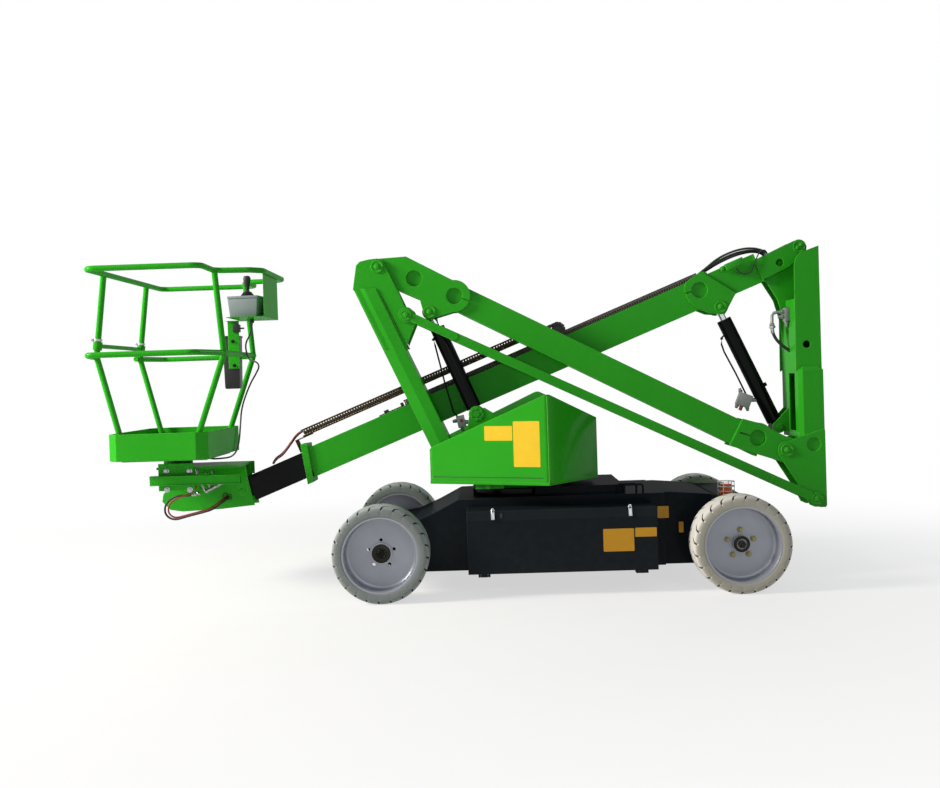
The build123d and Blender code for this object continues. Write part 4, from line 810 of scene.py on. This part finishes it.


# The chain is still black, the lower tray's black nylon is drawn pale grey as painted light on its
# lit rungs, and the primer is a flat, dusty brown; paler edges on both trays are painted highlight and worn
# paint
chain_nylon = moulded_plastic("black_nylon_chain", "#161412", "#0f0d0c", 0.55)
tray_brown = sprayed_steel("brown_primer_on_steel", "#4a3b25", "#3b2f1d", rough=0.5, dusty=0.0,
                           coat=0.05, edge="#8a7a5a")
tray_grey = sprayed_steel("black_nylon_painted_lit_grey", "#5f5c54", "#494640", rough=0.6, dusty=0.0,
                          coat=0.0, edge="#84807a")
fixed = ladder((650, 2673), (74.4, 108), TRAY_HALF_Y, 8, 17, 6)
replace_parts(new_piece("fixed_ladder_tray", fixed, tray_grey, "upper_boom"), "fixed_tray")
carried = ladder((1700, 3350), (150, 197), TRAY_HALF_Y, 9, 18, 8)
carried.append(rounded_block((110, 100, 6), on_boom(3355, 147), 1.5))
carried.append(rounded_block((8, 100, 86), on_boom(3406, 107), 1.5))
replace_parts(new_piece("carried_ladder_tray", carried, tray_brown, "fly_boom"), "moving_tray")
dusty_hose = rubber_cover("dusty_hose_rubber", "#4a4438", "#3a352c", 0.006)
BUNDLES = [("fixed_tray_hoses", 660, 2660, 91, "upper_boom"),
           ("carried_tray_hoses", 1710, 3340, 171, "fly_boom")]
for name, s_start, s_end, n, body in BUNDLES:
    bundle = [rod_along([up_boom(s_start, n, y), up_boom(s_end, n, y)], 10, 12)
              for y in (58, 82, 106, 130)]
    new_piece(name, bundle, dusty_hose, body)
LOOP_S, LINK_PITCH = 1590, 26
LINK = (22, 94, 22)
LOW_LINKS, HIGH_LINKS, LOOP_LINKS = 12, 34, 6
low_n, high_n = 91.5, 167.5
loop_n, loop_r = (low_n + high_n) / 2, (high_n - low_n) / 2 + 0.5
links = []
for count, n in ((LOW_LINKS, low_n), (HIGH_LINKS, high_n)):
    for step in range(count):
        links.append(rounded_block(LINK, on_boom(LOOP_S + LINK_PITCH * (step + 0.5), n), 3))
for step in range(LOOP_LINKS):
    angle = math.radians(90 + 180 / LOOP_LINKS * (step + 0.5))
    spot = up_boom(LOOP_S + loop_r * math.cos(angle), loop_n + loop_r * math.sin(angle))
    turn = Matrix.Rotation(math.pi - UPPER_ANGLE, 4, "Y") @ Matrix.Rotation(angle - math.pi / 2, 4, "Y")
    links.append(rounded_block((21, 94, 22), Matrix.Translation(spot) @ turn, 3))
# A black disc fills the inside of the chain's loop
LOOP_FILL_DISC = [(0.1, -40), (36, -40), (36, 40), (0.1, 40)]
links.append(turned(LOOP_FILL_DISC, up_boom(LOOP_S, loop_n), (0, 1, 0), 32))
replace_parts(new_piece("chain_links", links, chain_nylon, "hose_chain"), "energy_chain")


# Hoses at the boom's tail and tip. Hydraulic hoses in black rubber, stiff enough to arch over the
# tube between the tray and the manifold; a thin red one runs with them to the cage.
def hose(name, stops, thick, cover, body, union=False):
    """Hose through control points in mm; it may end in a steel union."""
    line = bpy.data.curves.new(name, "CURVE")
    line.dimensions = "3D"
    line.bevel_depth = thick / 2000
    line.bevel_resolution = 4
    line.resolution_u = 12
    line.use_fill_caps = True
    spline = line.splines.new("NURBS")
    spline.points.add(len(stops) - 1)
    for point, stop in zip(spline.points, stops):
        point.co = (*at(*stop), 1.0)
    spline.order_u = 3
    spline.use_endpoint_u = True
    line.materials.append(cover)
    piece = bpy.data.objects.new(name, line)
    bpy.context.scene.collection.objects.link(piece)
    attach(piece, body)
    if union:
        tip = at(*stops[-1])
        heading = (tip - at(*stops[-2])).normalized()
        r = thick / 2
        nut_height = 0.8 * thick
        ferrule = [(r + 0.2, -2.4 * thick), (r + 1.6, -2.3 * thick), (r + 1.8, -0.9 * thick),
                   (r + 0.2, -nut_height)]
        nut = hexagon(1.8 * thick, nut_height, tip - heading * nut_height / 1000, heading)
        shapes = [turned(ferrule, tip, heading, 20), nut]
        new_piece(f"{name}_union", shapes, zinc_plate, body)


black_hose = rubber_cover("black_hose_rubber", "#131415", "#0b0c0d", 0.006)
red_hose = rubber_cover("red_hose_rubber", "#8c1a12", "#6d120d", 0.006)
TAIL_HOSES = [
    ("tail_hose_1", 0.530, [
        (957, 70, 1868), (1011, 70, 1907), (1094, 70, 1974), (1190, 70, 2016), (1271, 70, 2033),
        (1340, 70, 2030), (1398, 70, 2010), (1414, 70, 1968)]),
    ("tail_hose_2", 0.512, [
        (957, 90, 1868), (1016, 90, 1901), (1100, 90, 1960), (1194, 90, 2001), (1273, 90, 2019),
        (1338, 90, 2020), (1394, 90, 2004), (1412, 90, 1968)]),
    ("tail_hose_3", 0.501, [
        (957, 112, 1868), (1020, 112, 1897), (1105, 110, 1948), (1198, 110, 1988), (1275, 110, 2009),
        (1338, 110, 2014), (1392, 110, 2000), (1410, 110, 1968)]),
]
for name, length, stops in TAIL_HOSES:
    hose(name, stops, thick=14, cover=black_hose, body="upper_boom",
         union=True)
hose("sensor_lead", [
    (1196, -2, 1902), (1208, -4, 1880), (1244, -5, 1862), (1284, -5, 1872), (1308, -4, 1922),
    (1330, -2, 1975), (1358, 20, 2012), (1402, 52, 2016), (1416, 64, 1968)],
     thick=8, cover=black_hose, body="upper_boom", union=True)
TIP_HOSES = [
    ("tip_hose_1", 14, 0.287, black_hose, [
        (-1586, 84, 960), (-1618, 84, 948), (-1668, 84, 880), (-1718, 84, 818), (-1768, 84, 790),
        (-1782, 84, 756)]),
    ("tip_hose_2", 14, 0.289, black_hose, [
        (-1586, 108, 960), (-1622, 108, 943), (-1676, 108, 868), (-1726, 108, 806), (-1768, 108, 786),
        (-1786, 108, 756)]),
    ("tip_hose_red", 9, 0.280, red_hose, [
        (-1586, 64, 958), (-1622, 64, 944), (-1668, 64, 874), (-1720, 64, 806), (-1757, 64, 786),
        (-1775, 64, 757)]),
]
for name, thick, length, cover, stops in TIP_HOSES:
    hose(name, stops, thick=thick, cover=cover, body="fly_boom")
TIE = [(7.4, -2), (9.4, -2), (9.4, 2), (7.4, 2)]
ties = [turned(TIE, at(-1672, y, 878), (-50, 0, -66), 20) for y in (84, 108)]
white_nylon = moulded_plastic("white_nylon_tie", "#d9d9d4", "#c8c8c2", 0.45)
new_piece("tip_hose_ties", ties, white_nylon, "fly_boom")


# Upright valve. A block of lowering valves in dull zinc-plated steel, bolted to the web in front of
# the column, with steel unions, a bent pipe and one black hose.
block_shapes = [rounded_block((30, 60, 84), laid(at(1500, 0, 1601)), 2.5)]
for spot, heading in (((1485, 1618), (-1, 0, 0)), ((1485, 1588), (-1, 0, 0)), ((1502, 1560), (0, 0, -1))):
    block_shapes += pipe_union(26, 16, 10, 37, at(spot[0], 0, spot[1]), heading)
ELBOW = [(1452, 1618), (1424, 1614), (1411, 1596), (1410, 1530)]
block_shapes.append(rod_along([at(x, 0, z) for x, z in ELBOW], 10, 16))
block_shapes.append(hexagon(27, 20, at(1410, 0, 1530), (0, 0, 1)))
new_piece("lowering_valve", block_shapes, dull_zinc, "upright")
hose("upright_hose", [
    (1517, 0, 1372), (1470, 0, 1406), (1432, 0, 1448), (1412, 0, 1492), (1410, 0, 1534)],
     thick=20, cover=black_hose, body="upright", union=True)


# Cage carrier. Welded green plates on the fly boom's pin; hoses leave its near plate, hang in a
# loop below and turn back up to steel unions under the deck.
give(green_gloss, "cage_carrier")
FLANGE_BOLTS = ((-2394, 751), (-2251, 747), (-2394, 635), (-2251, 631))
plate_bolts = []
for x, z in FLANGE_BOLTS:
    plate_bolts += bolt(19, at(x, -176, z), (0, -1, 0), 0.3)
new_piece("carrier_bolts", plate_bolts, zinc_plate, "carrier")
lips = [rounded_block((560, 7, 5), laid(at(-2210, -215, z)), 1.2) for z in (665, 719)]
new_piece("side_bar_lips", lips, green_gloss, "carrier")
GROMMET = [(13, 0), (19, 0), (19, 3), (13, 3)]
grommets = [turned(GROMMET, at(x, 26, z), (0, -1, 0), 24) for x, z in ((-2060, 556), (-2084, 566))]
new_piece("hose_hole_rim", grommets, black_rubber, "carrier")
unions = [hexagon(24, 16, at(-2236, -62, 592), (1, 0, 0.5)),
          hexagon(24, 16, at(-2222, -98, 745), (0, 0, 1))]
for number in range(3):
    seat = at(-2190 + 30 * number, -52 + 14 * number, 604 + 15 * number)
    unions += pipe_union(26, 18, 11, 47, seat, (1, 0, 0.45))
    unions.append(rod_along([seat, seat + Vector((-0.02, 0, 0.05)), seat + Vector((-0.02, 0, 0.1))], 8, 12))
new_piece("carrier_unions", unions, bare_steel, "carrier")
hose("carrier_hose_black", [
    (-2060, 24, 556), (-2072, -20, 545), (-2137, -60, 492), (-2211, -62, 473), (-2309, -62, 451),
    (-2396, -62, 428), (-2452, -62, 470), (-2440, -62, 546), (-2360, -62, 588), (-2300, -62, 578),
    (-2244, -62, 592)],
     thick=13, cover=black_hose, body="carrier", union=True)
hose("carrier_hose_red", [
    (-2074, 24, 562), (-2084, -24, 552), (-2145, -88, 500), (-2220, -92, 482), (-2309, -96, 462),
    (-2378, -98, 446), (-2420, -98, 484), (-2404, -98, 546), (-2340, -98, 580), (-2262, -98, 600),
    (-2222, -98, 655), (-2222, -98, 745)],
     thick=11, cover=red_hose, body="carrier", union=True)


# Cage. Bent tube and folded sheet in green, bolted to the floor pan; the gate bar slides on two
# sleeves and its plated clamps shine on the entry posts.
give(green_gloss, "cage_floor", "cage_posts", "top_rail", "mid_rail", "drop_bar", "control_bracket")
CLAMP_RING = [(18.6, 0), (25, 0), (25, 14), (18.6, 14)]
clamps = []
post_lean = Vector((60, 0, 492)).normalized()
for side in (-1, 1):
    seat = at(-2720, side * 400, 1465) + post_lean * 0.094
    clamps.append(turned(CLAMP_RING, seat, post_lean, 32))
    ear = Matrix.Translation(seat + Vector((-0.030, side * -0.002, 0.008)))
    clamps.append(rounded_block((16, 12, 12), ear, 2))
    clamps += bolt(10, seat + Vector((-0.030, side * 0.004, 0.008)), (0, side, 0))
new_piece("gate_clamps", clamps, zinc_plate, "cage")


# Controls. A die-cast box in grey hammer paint on a green tray, a joystick in a ribbed rubber boot,
# and a moulded black holder for papers on its bolted strip.
# A mid grey, duller than the gloss coats around it; its paler edges are painted highlight and worn paint
grey_hammer = sprayed_steel("grey_hammer_paint", "#8d9698", "#7d8688", rough=0.45, dusty=0.0, coat=0.1,
                            edge="#a9b1b3")
box_place = Matrix.Translation(at(-1856, -141, 1750)) @ Matrix.Rotation(math.radians(-7), 4, "Z")
box_body, box_lid = (box_place @ Matrix.Translation((0, 0, z)) for z in (-0.009, 0.056))
box = [rounded_block((190, 214, 112), box_body, 6, lower=(0.90, 0.92)),
       rounded_block((194, 218, 16), box_lid, 4)]
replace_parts(new_piece("cast_control_box", box, grey_hammer, "cage"), "control_box")
BOOT = [(0.1, 0), (46, 0), (46, 4), (38, 6), (41, 11), (34, 14), (36, 19), (27, 22), (29, 27),
        (19, 31), (14, 36), (0.1, 36)]
GRIP = [(0.1, 30), (13, 30), (14, 60), (17, 72), (20, 84), (22, 100), (23, 114), (20, 124), (14, 129),
        (0.1, 130)]
stick_at = at(-1857, -150, 1814.5)
stick = [turned(BOOT, stick_at, (0, 0, 1), 36), turned(GRIP, stick_at, (0, 0, 1), 32)]
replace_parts(new_piece("booted_joystick", stick, black_rubber, "cage"), "joystick")
holder = [rounded_block((112, 94, 340), laid(at(-2040, 179.2, 1416)), 12, lower=(0.90, 0.86)),
          rounded_block((116, 98, 16), laid(at(-2040, 179, 1582)), 4)]
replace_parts(new_piece("paper_holder", holder, black_abs, "cage"), "holder_box")
switch = [rounded_block((46, 34, 50), laid(at(-1992, 108.8, 1634)), 4),
          turned([(0.1, 0), (5, 0), (5, 26), (0.1, 26)], at(-1969, 106, 1634), (1, 0, 0), 16)]
new_piece("gate_switch", switch, black_abs, "cage")
strip_bolts = []
for x, z in ((-2025, 1552), (-2020, 1396)):
    strip_bolts += bolt(12, at(x, 126, z), (0, -1, 0))
GLAND = [(8, 0), (13, 0), (13, 22), (10, 26), (8, 26)]
strip_bolts.append(turned(GLAND, at(-1847, -90, 1680.2), (0, 0, -1), 20))
new_piece("strip_bolts", strip_bolts, oily_steel, "cage")
hose("cage_cable", [
    (-1847, -90, 1680), (-1848, -90, 1632), (-1876, -30, 1584), (-1926, 50, 1535), (-1936, 110, 1480),
    (-1934, 180, 1432), (-1930, 260, 1424), (-1922, 340, 1420), (-1914, 396, 1392), (-1944, 408, 1340),
    (-1988, 408, 1270), (-2046, 404, 1125), (-2057, 396, 1010), (-2056, 348, 905), (-2056, 270, 835),
    (-2076, 190, 800), (-2130, 130, 798), (-2190, 98, 798), (-2240, 80, 822)],
     thick=11, cover=black_hose, body="cage")
